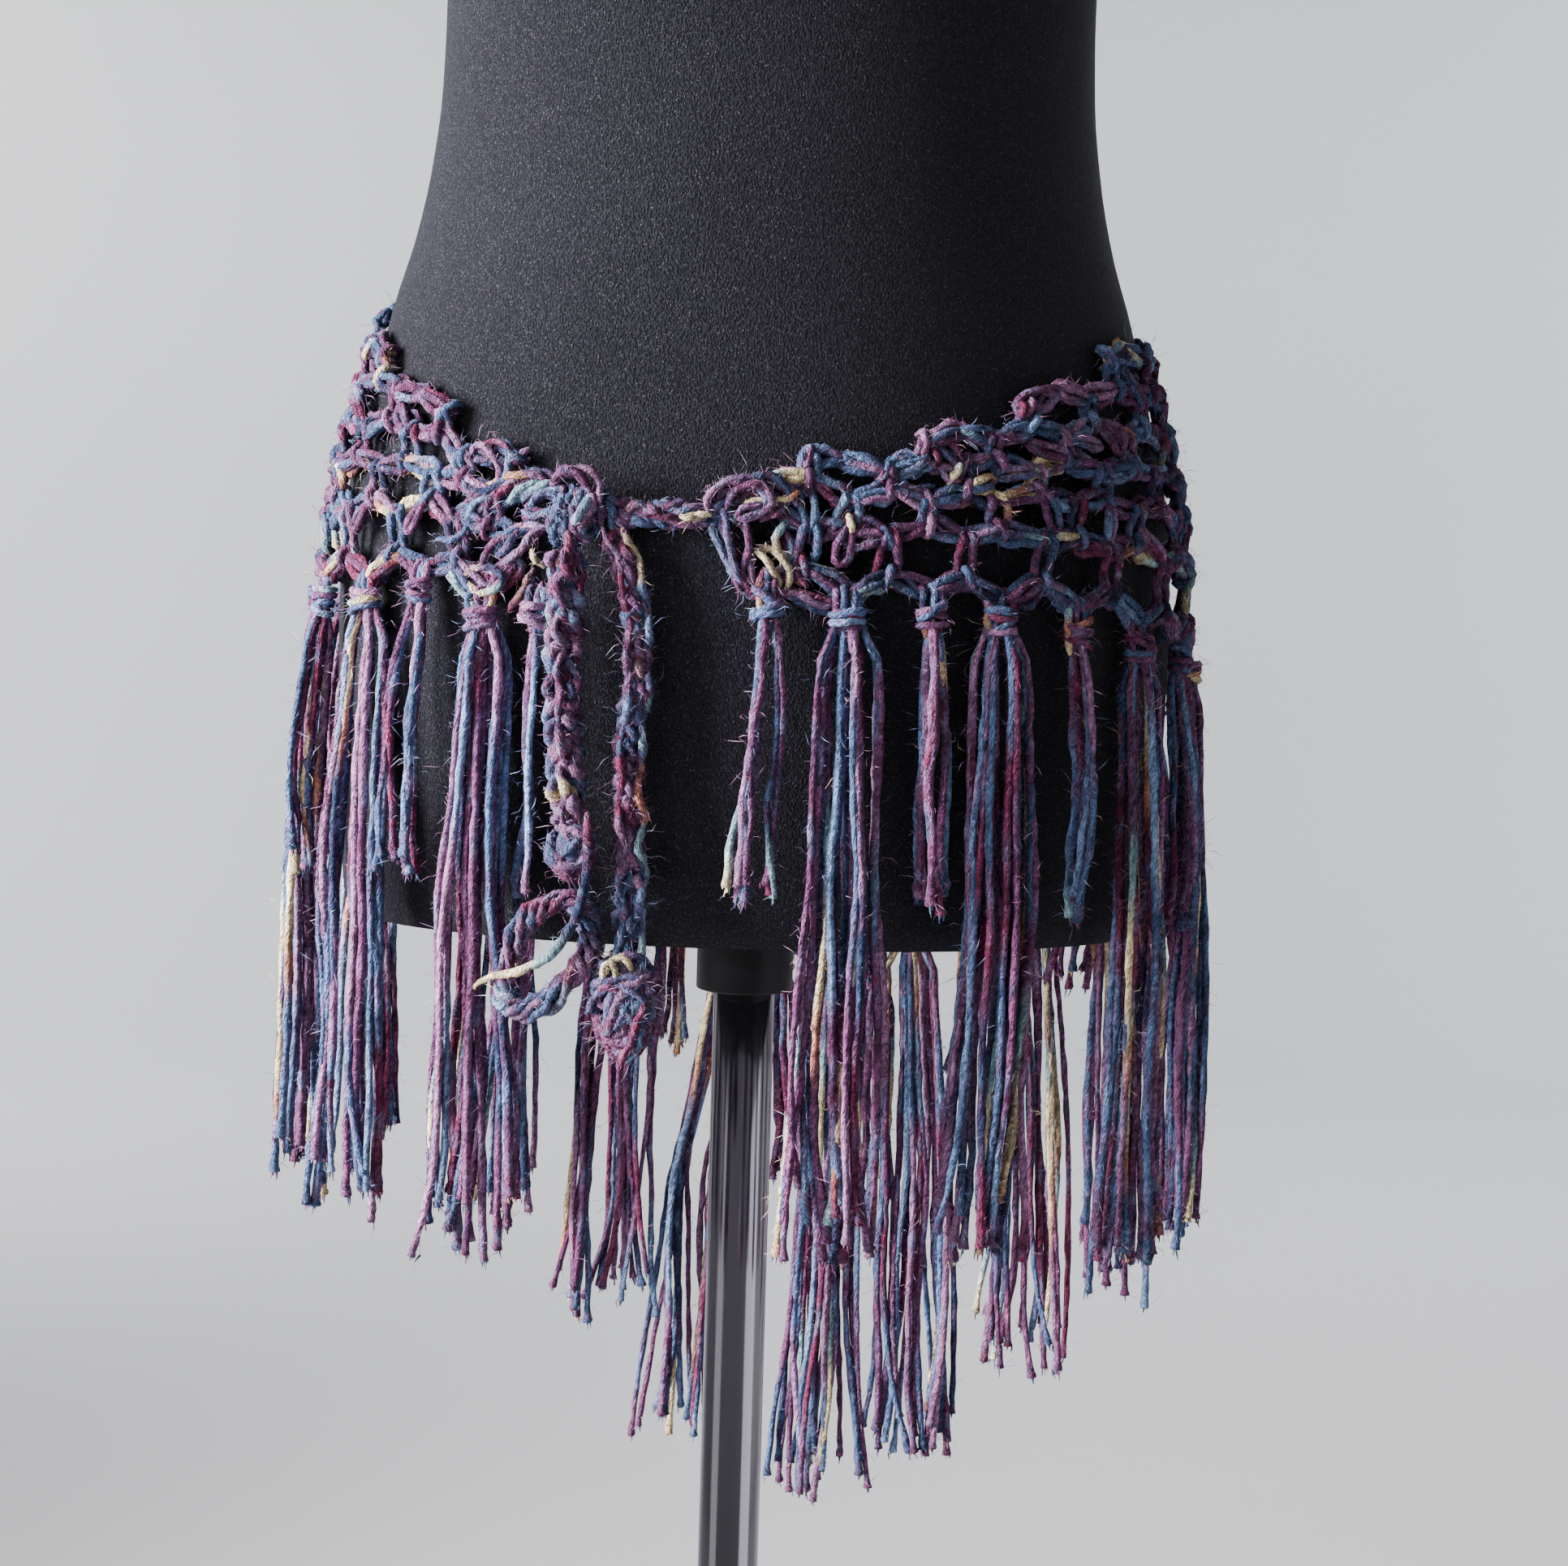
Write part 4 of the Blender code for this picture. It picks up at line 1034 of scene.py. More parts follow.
def wind_knot(yarn, spot, half, turns, radius=1.9):
    """Yarn knotted round an ellipsoid: short thick arcs of differently tilted rings, each with its
    own turn and size. A thick core follows its upright axis, its radius as the ellipsoid's."""
    rng = yarn.rng
    rise = np.linspace(-0.86, 0.86, 18)
    core_off = np.maximum(spot[2], half[2] * 0.72 + 2.0)
    core = at(spot[0] + 0 * rise, spot[1] + rise * half[1], core_off + 0 * rise)
    yarn.lay(core[None], (0.84 * min(half[0], half[2]) * np.sqrt(1 - rise ** 2))[None], 10, taper=0.1,
             fluff=0.0, kink=0.4, lumps=0.1, runs=(WINE, PLUM, DENIM, DENIM, MAUVE))
    axis = unit(rng.normal(0, 1, (turns, 3)))
    e1 = unit(np.cross(axis, rng.normal(0, 1, (turns, 3))))
    e2 = np.cross(axis, e1)
    turn = rng.uniform(0.14, 0.34, (turns, 1, 1))
    a = np.linspace(0, TURN, 11)[None, :, None] * turn + rng.random((turns, 1, 1)) * ROUND
    size = rng.uniform(0.80, 0.97, (turns, 1, 1))
    ball = size * (np.cos(a) * e1[:, None] + np.sin(a) * e2[:, None]) \
        + axis[:, None] * rng.uniform(0.0, 0.35, (turns, 1, 1))
    ball = ball * (1 + np.array([0.20, 0.0, 0.12]) * np.clip(ball[..., 1:2], -1, 1))
    p = ball * np.maximum(np.array(half) - radius * 0.7, 1.0)
    path = at(spot[0] + p[..., 0], spot[1] + p[..., 1], np.maximum(spot[2] + p[..., 2], 2.4))
    # paler and bluer at the top, wine and plum below
    level = p[..., 1].mean(1) / half[1] + rng.normal(0, 0.15, turns)
    top, middle, low = (rng.choice(dyes, turns)
                        for dyes in ((DENIM, MAUVE, SKY), (DENIM, PLUM, DENIM), (WINE, PLUM)))
    shade = np.where(level > 0.12, top, np.where(level > -0.15, middle, low))
    yarn.lay(path, radius * rng.uniform(0.85, 1.1, (turns, 1)), 6, shade=shade, taper=0.25, rate=1.4,
             kink=0.45, fluff=2.0, lumps=0.3)


LOOP_RUNS = (DENIM, PLUM, WINE, DENIM, MAUVE, PLUM, SKY, MAUVE, DENIM, PLUM, MAUVE, NAVY)
# the loop's loose end, which swings out to the left
LOOSE_END = ((-50.0, -314, 16.0), (-48.5, -330, 19.5), (-50.0, -346, 20.5), (-54.5, -359, 21.5),
             (-62.0, -368, 21.5), (-71.5, -373.0, 20.5), (-81.0, -376.0, 18.5), (-89.0, -381.5, 17.0))


def yarn_loop(context):
    """The loop under the left end: five strands twisted round a skewed oval ring, and its loose end."""
    yarn = Yarn(context, SEEDS["loop"])
    a = np.linspace(0, TURN * 1.01, 60)[None, :] + 0.4
    k = np.arange(5)[:, None] * TURN / 5
    turn = 3.3 * a + k + 0.5 * np.sin(3 * a)
    r = 2.75 + 0.6 * np.sin(2 * a + 2 * k)
    wobble = 1.2 * np.sin(3 * a + 1.0)
    x = LOOP_AT[0] + (LOOP_HALF[0] + wobble + r * np.cos(turn)) * np.cos(a) + LOOP_SKEW * np.sin(a)
    z = LOOP_AT[1] - 4.0 + (LOOP_HALF[1] - 2.0 + r * np.cos(turn)) * np.sin(a)
    yarn.lay(at(x, z, LOOP_AT[2] + r * np.sin(turn)), 1.75, 6, taper=0.2, kink=0.4, fluff=2.2,
             lumps=0.3, runs=LOOP_RUNS)
    strand = route(LOOSE_END, 44)
    thick = np.interp(np.arange(44), (0, 26, 36, 43), (1.9, 1.9, 1.5, 0.7))[None]
    yarn.lay(at(*strand.T)[None], thick, 8, start=(pale_place(yarn) - 82.0,), taper=0.3, fluff=1.3,
             kink=0.2)
    return yarn.build("yarn_loop", "yarn_denim", ("tail_loop",))


def pale_place(yarn):
    """Where the skein is palest, mm."""
    run = np.convolve(yarn.colours.sum(1), np.ones(14) / 14, mode="same")
    return float(np.argmax(run[60:-60]) + 60) * SKEIN_STEP


# strands given one by one at the belt's two front ends: dye, then (distance round the form, height,
# off)
RIGHT_END = (
    (MAUVE, (-14.3, -205.5, 8.0), (-15.1, -200.7, 8.0), (-11.4, -194.8, 9.0), (-6.0, -192.3, 9.5),
     (0.3, -191.6, 9.5), (5.7, -190.3, 9.0), (10.5, -193.1, 8.0), (12.7, -197.9, 8.0),
     (11.4, -202.0, 8.0)),
    (PLUM, (-11.2, -204.0, 8.5), (-8.6, -198.1, 8.5), (-3.2, -195.8, 9.5), (3.1, -196.2, 9.5),
     (7.9, -198.6, 9.0), (8.7, -202.9, 8.5), (4.7, -205.9, 8.5)),
    (MAUVE, (-13.4, -197.7, 6.5), (-7.9, -194.7, 7.5), (-1.5, -193.5, 8.0), (4.9, -192.8, 8.0),
     (11.4, -195.5, 7.0), (15.4, -200.6, 6.5)),
    (PLUM, (-6.7, -206.2, 7.0), (-2.2, -201.8, 8.5), (4.1, -200.1, 8.5), (10.5, -201.3, 8.0),
     (15.1, -198.2, 7.0)),
    (WINE, (-8.7, -201.3, 5.5), (-0.4, -198.7, 6.5), (6.9, -200.9, 6.5), (11.7, -204.6, 5.5)),
    (MAUVE, (-4.7, -207.2, 9.5), (0.6, -204.2, 10.0), (4.1, -199.3, 10.5), (2.2, -194.5, 10.0),
     (-3.3, -193.6, 9.0)),
    (DENIM, (-12.2, -201.5, 6.0), (-10.4, -209.2, 6.5), (-7.5, -216.8, 6.5), (-4.5, -224.5, 6.0),
     (-1.5, -230.2, 5.0), (1.8, -234.5, 4.0)),
    (SKY, (-14.4, -203.4, 4.0), (-12.7, -211.1, 4.0), (-9.6, -218.8, 4.0), (-6.7, -225.5, 4.0),
     (-2.4, -232.2, 4.0)),
    (MAUVE, (-7.7, -205.2, 5.0), (-2.8, -209.9, 5.5), (-0.3, -216.6, 5.5), (-0.7, -223.4, 5.0),
     (0.3, -230.6, 4.0)),
    (CREAM, (2.0, -217.3, 5.0), (5.7, -218.8, 6.0), (8.7, -223.1, 6.5), (11.4, -227.1, 6.0),
     (9.6, -232.3, 5.0)),
    (WINE, (11.7, -206.5, 5.0), (9.3, -212.4, 5.5), (9.8, -217.2, 5.0), (13.9, -221.0, 5.0),
     (15.1, -225.8, 5.0), (19.2, -230.1, 5.0)),
    (WINE, (10.2, -209.4, 4.5), (12.8, -214.2, 5.5), (14.4, -220.0, 5.0), (12.2, -224.9, 4.5),
     (9.6, -229.9, 4.5)),
    (WINE, (-0.5, -231.6, 4.2), (5.9, -233.1, 5.0), (12.3, -231.0, 5.0), (18.8, -232.5, 5.0),
     (25.3, -236.4, 5.0), (33.8, -237.4, 4.5)),
    (MAUVE, (0.4, -233.6, 3.4), (7.8, -232.4, 3.4), (15.3, -234.1, 3.4), (21.9, -236.8, 3.4),
     (30.3, -239.0, 3.4)),
)
LEFT_END = (
    (MAUVE, (-102.5, -216.1, 5.0), (-100.2, -208.2, 5.5), (-94.0, -200.7, 6.0), (-85.5, -195.7, 6.5),
     (-77.3, -193.0, 7.0), (-71.1, -195.1, 7.0)),
    (PLUM, (-106.8, -213.2, 4.2), (-102.2, -204.2, 5.0), (-96.7, -198.2, 5.5), (-91.6, -195.2, 5.5)),
    (AQUA, (-85.6, -203.3, 7.2), (-80.2, -199.2, 8.0), (-74.5, -195.7, 8.0), (-71.1, -195.1, 7.0)),
    (DENIM, (-79.4, -205.5, 7.0), (-74.1, -200.3, 8.0), (-67.4, -201.0, 8.5), (-68.4, -206.3, 8.0),
     (-74.5, -207.7, 7.5), (-79.4, -205.0, 7.0)),
    (SKY, (-82.3, -201.1, 6.0), (-74.8, -198.1, 7.0), (-66.5, -199.9, 7.5), (-63.6, -203.8, 7.0)),
    (DENIM, (-80.2, -207.9, 5.5), (-72.7, -205.4, 6.5), (-65.5, -205.3, 7.0)),
    (NAVY, (-78.7, -191.1, 5.0), (-72.8, -193.1, 6.0), (-69.4, -198.0, 6.0)),
    (RUST, (-86.8, -195.2, 6.0), (-81.4, -192.5, 7.0), (-75.9, -191.8, 7.0)),
    (MAUVE, (-96.6, -227.7, 4.5), (-92.9, -219.5, 5.5), (-85.9, -214.1, 6.0), (-78.5, -211.0, 6.0),
     (-71.4, -210.7, 5.5)),
    (MAUVE, (-95.2, -229.4, 4.5), (-85.9, -224.3, 5.5), (-79.2, -219.2, 6.0), (-74.5, -213.9, 6.0),
     (-70.0, -209.7, 5.5)),
    (MAUVE, (-104.2, -187.3, 5.5), (-98.2, -181.9, 6.5), (-91.3, -183.5, 7.0), (-88.8, -189.9, 7.0),
     (-91.8, -196.3, 6.5), (-99.4, -198.5, 6.0), (-107.4, -193.5, 5.5)),
    (PLUM, (-108.2, -191.3, 5.0), (-102.0, -197.3, 6.0), (-95.2, -198.2, 6.0), (-89.9, -195.2, 6.0)),
    (AQUA, (-110.9, -226.2, 4.5), (-105.4, -232.2, 5.5), (-98.0, -238.2, 6.0), (-93.8, -242.0, 6.0)),
    (WINE, (-76.1, -228.0, 4.5), (-79.8, -235.0, 5.5), (-83.9, -240.8, 6.0)),
    (MAUVE, (-101.4, -230.3, 5.5), (-95.1, -227.2, 6.5), (-87.5, -228.6, 7.0), (-87.9, -233.8, 7.0),
     (-95.6, -234.5, 6.5), (-101.0, -231.1, 6.0)),
    (CREAM, (-76.6, -221.1, 6.5), (-74.2, -223.1, 7.5), (-73.4, -225.0, 6.5)),
    (WINE, (-113.5, -208.3, 5.0), (-105.8, -205.8, 6.0), (-101.0, -209.2, 6.0), (-105.0, -216.2, 6.0),
     (-112.5, -215.3, 5.5)),
)
KNOT_STRANDS = (
    (CREAM, (-42.6, -374.5, 17.0), (-41.6, -368.5, 19.0), (-39.5, -365.5, 19.5), (-37.4, -368.0, 19.0),
     (-36.8, -373.0, 17.0)),
    (DENIM, (-47.5, -386.0, 14.0), (-44.0, -378.0, 18.0), (-38.0, -376.5, 20.0), (-32.0, -382.0, 18.5),
     (-30.0, -390.0, 15.0)),
    (WINE, (-33.0, -374.0, 16.0), (-30.0, -384.0, 18.0), (-32.5, -396.0, 18.5), (-37.0, -404.0, 15.5)),
)
BRIDGE_STRANDS = (
    (CREAM, (-24.0, -207.0, 9.6), (-20.0, -207.6, 10.4), (-16.0, -207.2, 10.0)),
    (WINE, (-34.0, -202.5, 8.6), (-28.0, -205.5, 9.8), (-22.0, -203.5, 9.0)),
)
WRAP_STRANDS = (
    (MAUVE, (-67.0, -196.5, 12.0), (-62.5, -193.0, 14.5), (-57.0, -192.5, 14.5), (-53.5, -196.5, 12.5),
     (-52.5, -203.0, 12.0)),
    (PLUM, (-53.0, -199.0, 9.0), (-50.0, -206.0, 9.5), (-49.5, -213.0, 8.0)),
    (WINE, (-62.0, -214.0, 13.0), (-58.5, -219.0, 14.5), (-55.0, -226.0, 14.0)),
)


def end_strands(yarn, table, radius):
    """Strands on smooth curves through given points, in pairs that turn about each other: one of the
    given dye, the other as the skein runs, or of the same dye where that is cream or aqua."""
    for shade, *points in table:
        long = run_of(np.array(points))[-1]
        line = route(points, max(8, int(long / 2.2)))
        turn = np.linspace(0, long / 9.0, len(line)) + yarn.rng.random() * ROUND
        for sign, dye in ((0.75, shade), (-0.75, -1 if shade not in (CREAM, AQUA) else shade)):
            drift = np.sin(turn[:, None] * (0.9, 1.1, 0.7) + yarn.rng.random(3) * ROUND)
            drift = drift * (1.1, 1.1, 0.8)
            curl = np.stack([np.cos(turn), np.cos(turn) * 0.7, np.sin(turn)], axis=1)
            off = line + drift + radius * sign * curl
            off[:, 2] = np.maximum(off[:, 2], 2.2)
            yarn.lay(at(*off.T)[None], radius * 0.84, 6, shade=(dye,), taper=0.45, kink=0.4, fluff=2.0,
                     rate=2.0)


# yarn used by a row and by a mm of it, and the places on the skein where rows, posts, the second arm
# of a post and wraps start, mm
ROW_YARN, BAR_YARN = 2600.0, 3.0
ROW_START, POST_START, ARM_START, WRAP_START = 9000.0, 9600.0, 24.0, 19300.0
SIDES_FROM = 235.0              # beyond this distance from centre back more stitches are slack


class BELT_OT_net(Operator):
    """The crocheted open mesh: chain bars, posts between them, knots where they meet, in two halves"""
    bl_idname = "belt.net"
    bl_label = "Net"

    def execute(self, context):
        r = context.scene.belt_yarn.net_thickness / 2 / MM
        for right, side in ((False, "left"), (True, "right")):
            (line, a, b, rim), (row, top, foot, _) = net_edges(right)
            along = line * ROW_YARN + (a[:, 0] + b[:, 0]) * 0.5 * BAR_YARN + ROW_START
            yarn = Yarn(context, SEEDS["net"] + right)
            worked = [self.bars(yarn, a, b, along, r), self.posts(yarn, row, top, foot, r)]
            cloth = yarn.build("crochet_" + side, "yarn_plum", ("net_" + side,))

            more = Yarn(context, SEEDS["net_knots"] + right)
            self.back_strands(more, a, b, along, r)
            self.wraps(more, top, foot, r)
            self.slack(more, a, b, rim, 0.70 if right else 0.75, r)
            for laid in worked:
                more.fuzz_of(laid, 1.25)
            end_strands(more, RIGHT_END if right else LEFT_END, r)
            extra = more.build("crochet_%s_knots" % side, "yarn_plum")
            area, wide, tall = cloth_area(right)
        return {"FINISHED"}

    def bars(self, yarn, a, b, along, r):
        """A teardrop chain stitch on each bar."""
        rng, count = yarn.rng, len(a)
        width = (2.6 + 0.6 * rng.normal(0, 1, count)).clip(1.3, 3.7)[:, None]
        p, off = stitches(a, b, width, 2.1, 2.1)
        lean = rng.normal(0, 0.6, (count, 1))
        return yarn.lay(belt(p[..., 0], p[..., 1] + lean, off), r, 6, start=along, fluff=0.0, rate=2.0,
                        kink=0.3)

    def posts(self, yarn, row, top, foot, r):
        """Two arms from over the upper bar to behind the lower one: they bow apart by a sine of the
        length, and splay by a power of it."""
        rng, n = yarn.rng, len(row)
        q = np.linspace(0, 1, 11)[None, None, :]
        d = (foot - top)[:, None, None, :]
        w = rng.uniform(1.2, 2.6, (n, 1, 1))
        splay = rng.uniform(0.0, 1.0, (n, 1, 1)) ** 1.4 * 3.8
        sign = np.array([-1.0, 1.0])[None, :, None]
        y = sign * (0.9 + w * np.sin(math.pi * q) * 0.8 + splay * q ** 1.3)
        x = np.interp(q, (0, 0.10, 0.25, 0.9, 1.0), (-0.20, -0.13, 0.10, 0.97, 1.04))
        lift = np.interp(q, (0, 0.08, 0.18, 0.45, 0.8, 1.0), (1.2, 4.2, 6.2, 4.2, 3.0, 1.4))
        s = left_of(d / np.linalg.norm(foot - top, axis=1)[:, None, None, None])
        spot = top[:, None, None, :] + d * x[..., None] + s * y[..., None]
        path = belt(spot[..., 0], spot[..., 1], lift + 0 * y).reshape(n * 2, 11, 3)
        start = np.repeat(row * ROW_YARN + top[:, 0] * BAR_YARN + POST_START, 2) \
            + np.tile([0.0, ARM_START], n)
        return yarn.lay(path, r, 6, start=start, fluff=0.0, rate=2.0, kink=0.3)

    def back_strands(self, yarn, a, b, along, r):
        """The strands at the back and in the middle of each chain, waved by a sine."""
        rng, count = yarn.rng, len(a)
        t = np.linspace(-0.08, 1.08, 8)[None, :]
        s = left_of(unit(b - a))
        for turn, high in ((20, 1.6), (31, 3.4)):
            wave = 2.1 * np.sin(t * TURN + rng.random((count, 1)) * ROUND) \
                + rng.normal(0, 1.3, (count, 1))
            back = a[:, None] + (b - a)[:, None] * t[..., None] + s[:, None] * wave[..., None]
            yarn.lay(belt(back[..., 0], back[..., 1], high + 0 * t), r * 0.90, 5, start=along + turn,
                     fluff=0.0, rate=2.0, kink=0.3)

    def wraps(self, yarn, top, foot, r):
        """Arcs over the bars where posts end, and over some where they start."""
        rng = yarn.rng
        knots = np.concatenate([foot, top[rng.random(len(top)) < 0.6]])
        m = len(knots)
        a = np.linspace(-0.25 * math.pi, 1.25 * math.pi, 9)[None, :]
        tilt = rng.normal(0, 0.45, (m, 1))
        reach = rng.uniform(2.9, 4.3, (m, 1))
        x = knots[:, :1] + tilt * reach * np.cos(a) + 1.8 * (a / math.pi - 0.5) \
            + rng.normal(0, 1.0, (m, 1))
        z = knots[:, 1:] + reach * np.cos(a)
        yarn.lay(belt(x, z, 2.6 + 3.7 * np.sin(a) + 0 * z), r * rng.uniform(0.8, 1.1, (m, 1)), 6,
                 start=knots[:, 0] * BAR_YARN + knots[:, 1] * 97.0 + WRAP_START, fluff=0.9, rate=2.0)

    def slack(self, yarn, a, b, rim, share, r):
        """Stitches that lie loose over the net, turned about one end, but hardly so at the border."""
        rng = yarn.rng
        loose = rng.random(len(a)) < np.where(np.abs(a[:, 0]) > SIDES_FROM, share, 0.36)
        a, b = a[loose], b[loose]
        spin = rng.normal(0, 0.5, len(a)) * np.where(rim[loose], 0.15, 1.0)
        d = b - a
        turned = np.stack([d[:, 0] * np.cos(spin) - d[:, 1] * np.sin(spin),
                           d[:, 0] * np.sin(spin) + d[:, 1] * np.cos(spin)], axis=1)
        p, off = stitches(a, a + turned, rng.uniform(1.2, 2.6, (len(a), 1)), 3.6, 2.4, stations=13,
                          head=1.0)
        yarn.lay(belt(p[..., 0], p[..., 1], off), r * 0.92, 6, fluff=0.9, rate=2.0, kink=0.3)


# half width, half depth and outward drift of a long and of a short bundle, by its place: at the point
# of the triangle, on its sloping sides and on the level edge
BUNDLES = {"point": ((18.5, 10.5, 0.0), (9.0, 7.5, 0.0)),
           "slope": ((19.5, 10.5, 4.0), (9.5, 7.5, -3.0)),
           "level": ((14.8, 8.5, 0.0), (7.8, 6.6, 0.0))}
LEFT_DRIFT, POLE_DRIFT = 8.0, 15.0      # the long ones at the left, and the one that hangs at the pole
HIDDEN = -13.5                          # the column of the thin tassel behind the left tail
GOLDEN = 2.39996                        # angle between locks in a bundle, as seeds lie in a sunflower


class BELT_OT_fringe(Operator):
    """Thirty one tassels: wrapped heads, strands looped over the net's edge, and hanging strands"""
    bl_idname = "belt.fringe"
    bl_label = "Fringe"

    def execute(self, context):
        number = 0
        for column, line, side, long in TASSELS:
            for sign in (1, -1) if column else (1,):
                node = "tassel_%s%02d" % ("r" if sign > 0 else "l", int(column * 2)) if column \
                    else "tassel_back"
                self.tassel(context, node, column * sign, line, side, long, SLOTS[number % 3], number)
                number += 1
        return {"FINISHED"}

    def tassel(self, context, node, column, line, side, long, slot, number):
        """One tassel, from the lowest place of the net's edge at its lattice point."""
        yarn = Yarn(context, SEEDS["tassels"] + number)
        # painted light: the tassel's dyes are made paler to stand for the extra light that the hanging
        # strands catch
        yarn.palette, yarn.colours = yarn.palette * FRINGE_PAINTED_LIGHT, yarn.colours * FRINGE_PAINTED_LIGHT
        sizes = context.scene.belt_yarn
        r = sizes.fringe_thickness / 2 / MM
        outward = math.copysign(1.0, column) if column else 0.0
        base = BORDER[(column, line, CELL_SLANT * side)]
        u0 = base[0] + (1.6 * outward if side < 0 else 0.0)
        z0 = min(z for z in edge_heights(u0, 4.0) if abs(z - base[1]) < 12.0) - 0.5
        slope = side < 0 or (line > 7 and column == 0)
        hidden = column == HIDDEN
        off0, lean = (6.2, 0.9) if hidden else (8.0, 6.5)
        if hidden:
            bundle, n, loose = (3.2, 2.9, 0.0), 4, 0.25
        else:
            kind = "level" if not slope else "point" if abs(column) < 0.9 else "slope"
            wide, deep, drift = BUNDLES[kind][0 if long else 1]
            if kind == "slope" and long and outward < 0:
                drift = LEFT_DRIFT if column < -1.5 else POLE_DRIFT
            bundle = (wide * (1.12 if long else 1.25), deep * (1.0 if long else 1.1), drift * outward)
            n, loose = (sizes.long_strands, 1.0) if long else (sizes.short_strands, 0.7)
        length = (LONG_BACK if slope else LONG) if long else SHORT

        def spot(across, down, out):
            return at(APEX_ARC - (u0 + across), z0 + down, off0 + out)

        swaying = 0.0 if hidden else 1.0
        path = self.hanging(yarn.rng, n, length, long, bundle, loose, lean, off0, swaying)
        laid = yarn.lay(spot(*path), r * yarn.rng.uniform(0.82, 1.12, (n, 1)), 5, taper=0.12, kink=0.14,
                        fluff=0.70, lumps=0.20, rate=0.6, cut=True)
        self.frayed(yarn, laid)
        self.head(yarn, spot, r, 3 if hidden else 4, 0.85 if hidden or not long else 1.0)
        self.over_the_edge(yarn, spot, r, 4 if long else 3)
        yarn.build(node + "_yarn", slot, (node,))

    def hanging(self, rng, n, length, long, bundle, loose, lean, off0, swaying):
        """Across, down and out of the strands, mm. They hang in locks of three that wave together. A
        strand's place across the bundle opens out from the head, drifts, waves by sines of its length,
        and bends away by powers of it towards its end."""
        wide, deep, drift = bundle
        stations = 38 if long else 22
        tip = np.array([4.5, 2.4, 1.1, 0.0]) / length
        s = np.concatenate([np.linspace(0, 1 - 8.0 / length, stations - 4), 1 - tip])[None, :]
        lock = np.arange(n)[:, None] // 3
        locks = int(lock.max()) + 1
        a = lock * GOLDEN + rng.random() * ROUND
        rho = np.sqrt((lock + 0.5) / locks)
        x0, y0 = rng.uniform(-3.1, 3.1, (2, n, 1)) * loose
        total = length * (0.915 + 0.12 * rng.random((n, 1)))
        bell = 0.034 * LONG / length
        spread = 0.30 + 0.32 * ease(s / (2.0 * bell)) + 0.38 * s ** 0.8
        phase = rng.random((5, n, 1)) * ROUND
        beat = rng.uniform(0.7, 1.7, (2, locks, 1))[:, lock[:, 0]]
        shared = phase[3:][:, lock[:, 0]]
        turn = ROUND * s
        wave = 1.5 * np.sin(turn * beat[0] + shared[0]) + x0 \
            + 0.8 * np.sin(turn * rng.uniform(1.2, 2.6, (n, 1)) + phase[0]) \
            + 0.30 * np.sin(turn * rng.uniform(2.5, 5.0, (n, 1)) + phase[1])
        wave2 = 1.2 * np.sin(turn * beat[1] + shared[1]) + y0 \
            + 0.7 * np.sin(turn * rng.uniform(1.2, 2.4, (n, 1)) + phase[2])
        scale = 1.0 if long else 0.7
        bend = (rng.normal(0, 3.4, (locks, 1))[lock[:, 0]] * s ** 2
                + rng.normal(0, 4.2, (n, 1)) * s ** 5) * loose
        sway = rng.normal(0, 1.6) * s ** 1.5 * swaying
        across = wide * rho * np.cos(a) * spread + drift * np.minimum(2 * s, 1) \
            + scale * wave * np.sqrt(s) + bend + sway
        out = deep * rho * np.sin(a) * spread + lean * np.minimum(2.2 * s, 1) \
            + scale * wave2 * np.sqrt(s)
        return across, -6.0 - (total + 5.5) * s, np.maximum(out, 2.4 - off0)

    def head(self, yarn, spot, r, rows, size):
        """Strands wound side by side round the bundle, as tilted arcs of an ellipse."""
        rng = yarn.rng
        a = np.linspace(-0.75 * math.pi, 0.75 * math.pi, 15)[None, :] + math.pi / 2 \
            + rng.normal(0, 0.25, (rows, 1))
        girth = rng.uniform(4.3, 5.6, (rows, 1)) * size
        fall = np.linspace(-1.8, -8.0, rows)[:, None] + rng.normal(0, 0.5, (rows, 1))
        tilt = rng.normal(0, 0.34, (rows, 1))
        path = spot(girth * np.cos(a), fall + tilt * girth * np.cos(a), 0.85 * girth * np.sin(a) + 0.3)
        yarn.lay(path, r * rng.uniform(0.85, 1.05, (rows, 1)), 6, fluff=1.4, kink=0.3, taper=0.3)

    def over_the_edge(self, yarn, spot, r, m):
        """The bundle inside the head, which goes up over the edge of the net and down behind it."""
        rng = yarn.rng
        k = np.linspace(0, 1, 16)[None, :]
        x = ((np.arange(m) - (m - 1) / 2) * 2.5)[:, None] \
            * (0.55 + 0.65 * np.sin(math.pi * np.minimum(k * 1.1, 1))) + rng.normal(0, 0.7, (m, 1))
        stops = (0, 0.35, 0.62, 0.80, 1.0)
        up = np.interp(k, stops, (-12.5, -2.0, 5.0, 7.0, 3.5)) + rng.normal(0, 0.6, (m, 1))
        out = np.interp(k, stops, (0.0, 0.6, -0.2, -3.4, -6.6))
        yarn.lay(spot(x, up, out + 0 * x), r * 0.98, 6, fluff=1.2, kink=0.3, rate=2.0)

    def frayed(self, yarn, laid):
        """Each strand's cut end opens into a few fine tapering fibres."""
        rng, path = yarn.rng, laid[0]
        n, k = len(path), 3
        tip, way = path[:, -1], unit(path[:, -1] - path[:, -3])
        d = unit(way[:, None] + rng.normal(0, 0.16, (n, k, 3)))
        spot = tip[:, None] + rng.normal(0, 0.0008, (n, k, 3))
        long = rng.uniform(0.0012, 0.0034, (n, k, 1, 1))
        t = np.linspace(-0.5, 1, 3)[None, None, :, None]
        p = spot[:, :, None] + d[:, :, None] * long * t
        yarn.lay(p.reshape(n * k, 3, 3), np.linspace(0.55, 0.18, 3)[None], 3, fluff=0.0, taper=0.1,
                 start=np.repeat(rng.random(n) * SKEIN_MM, k))


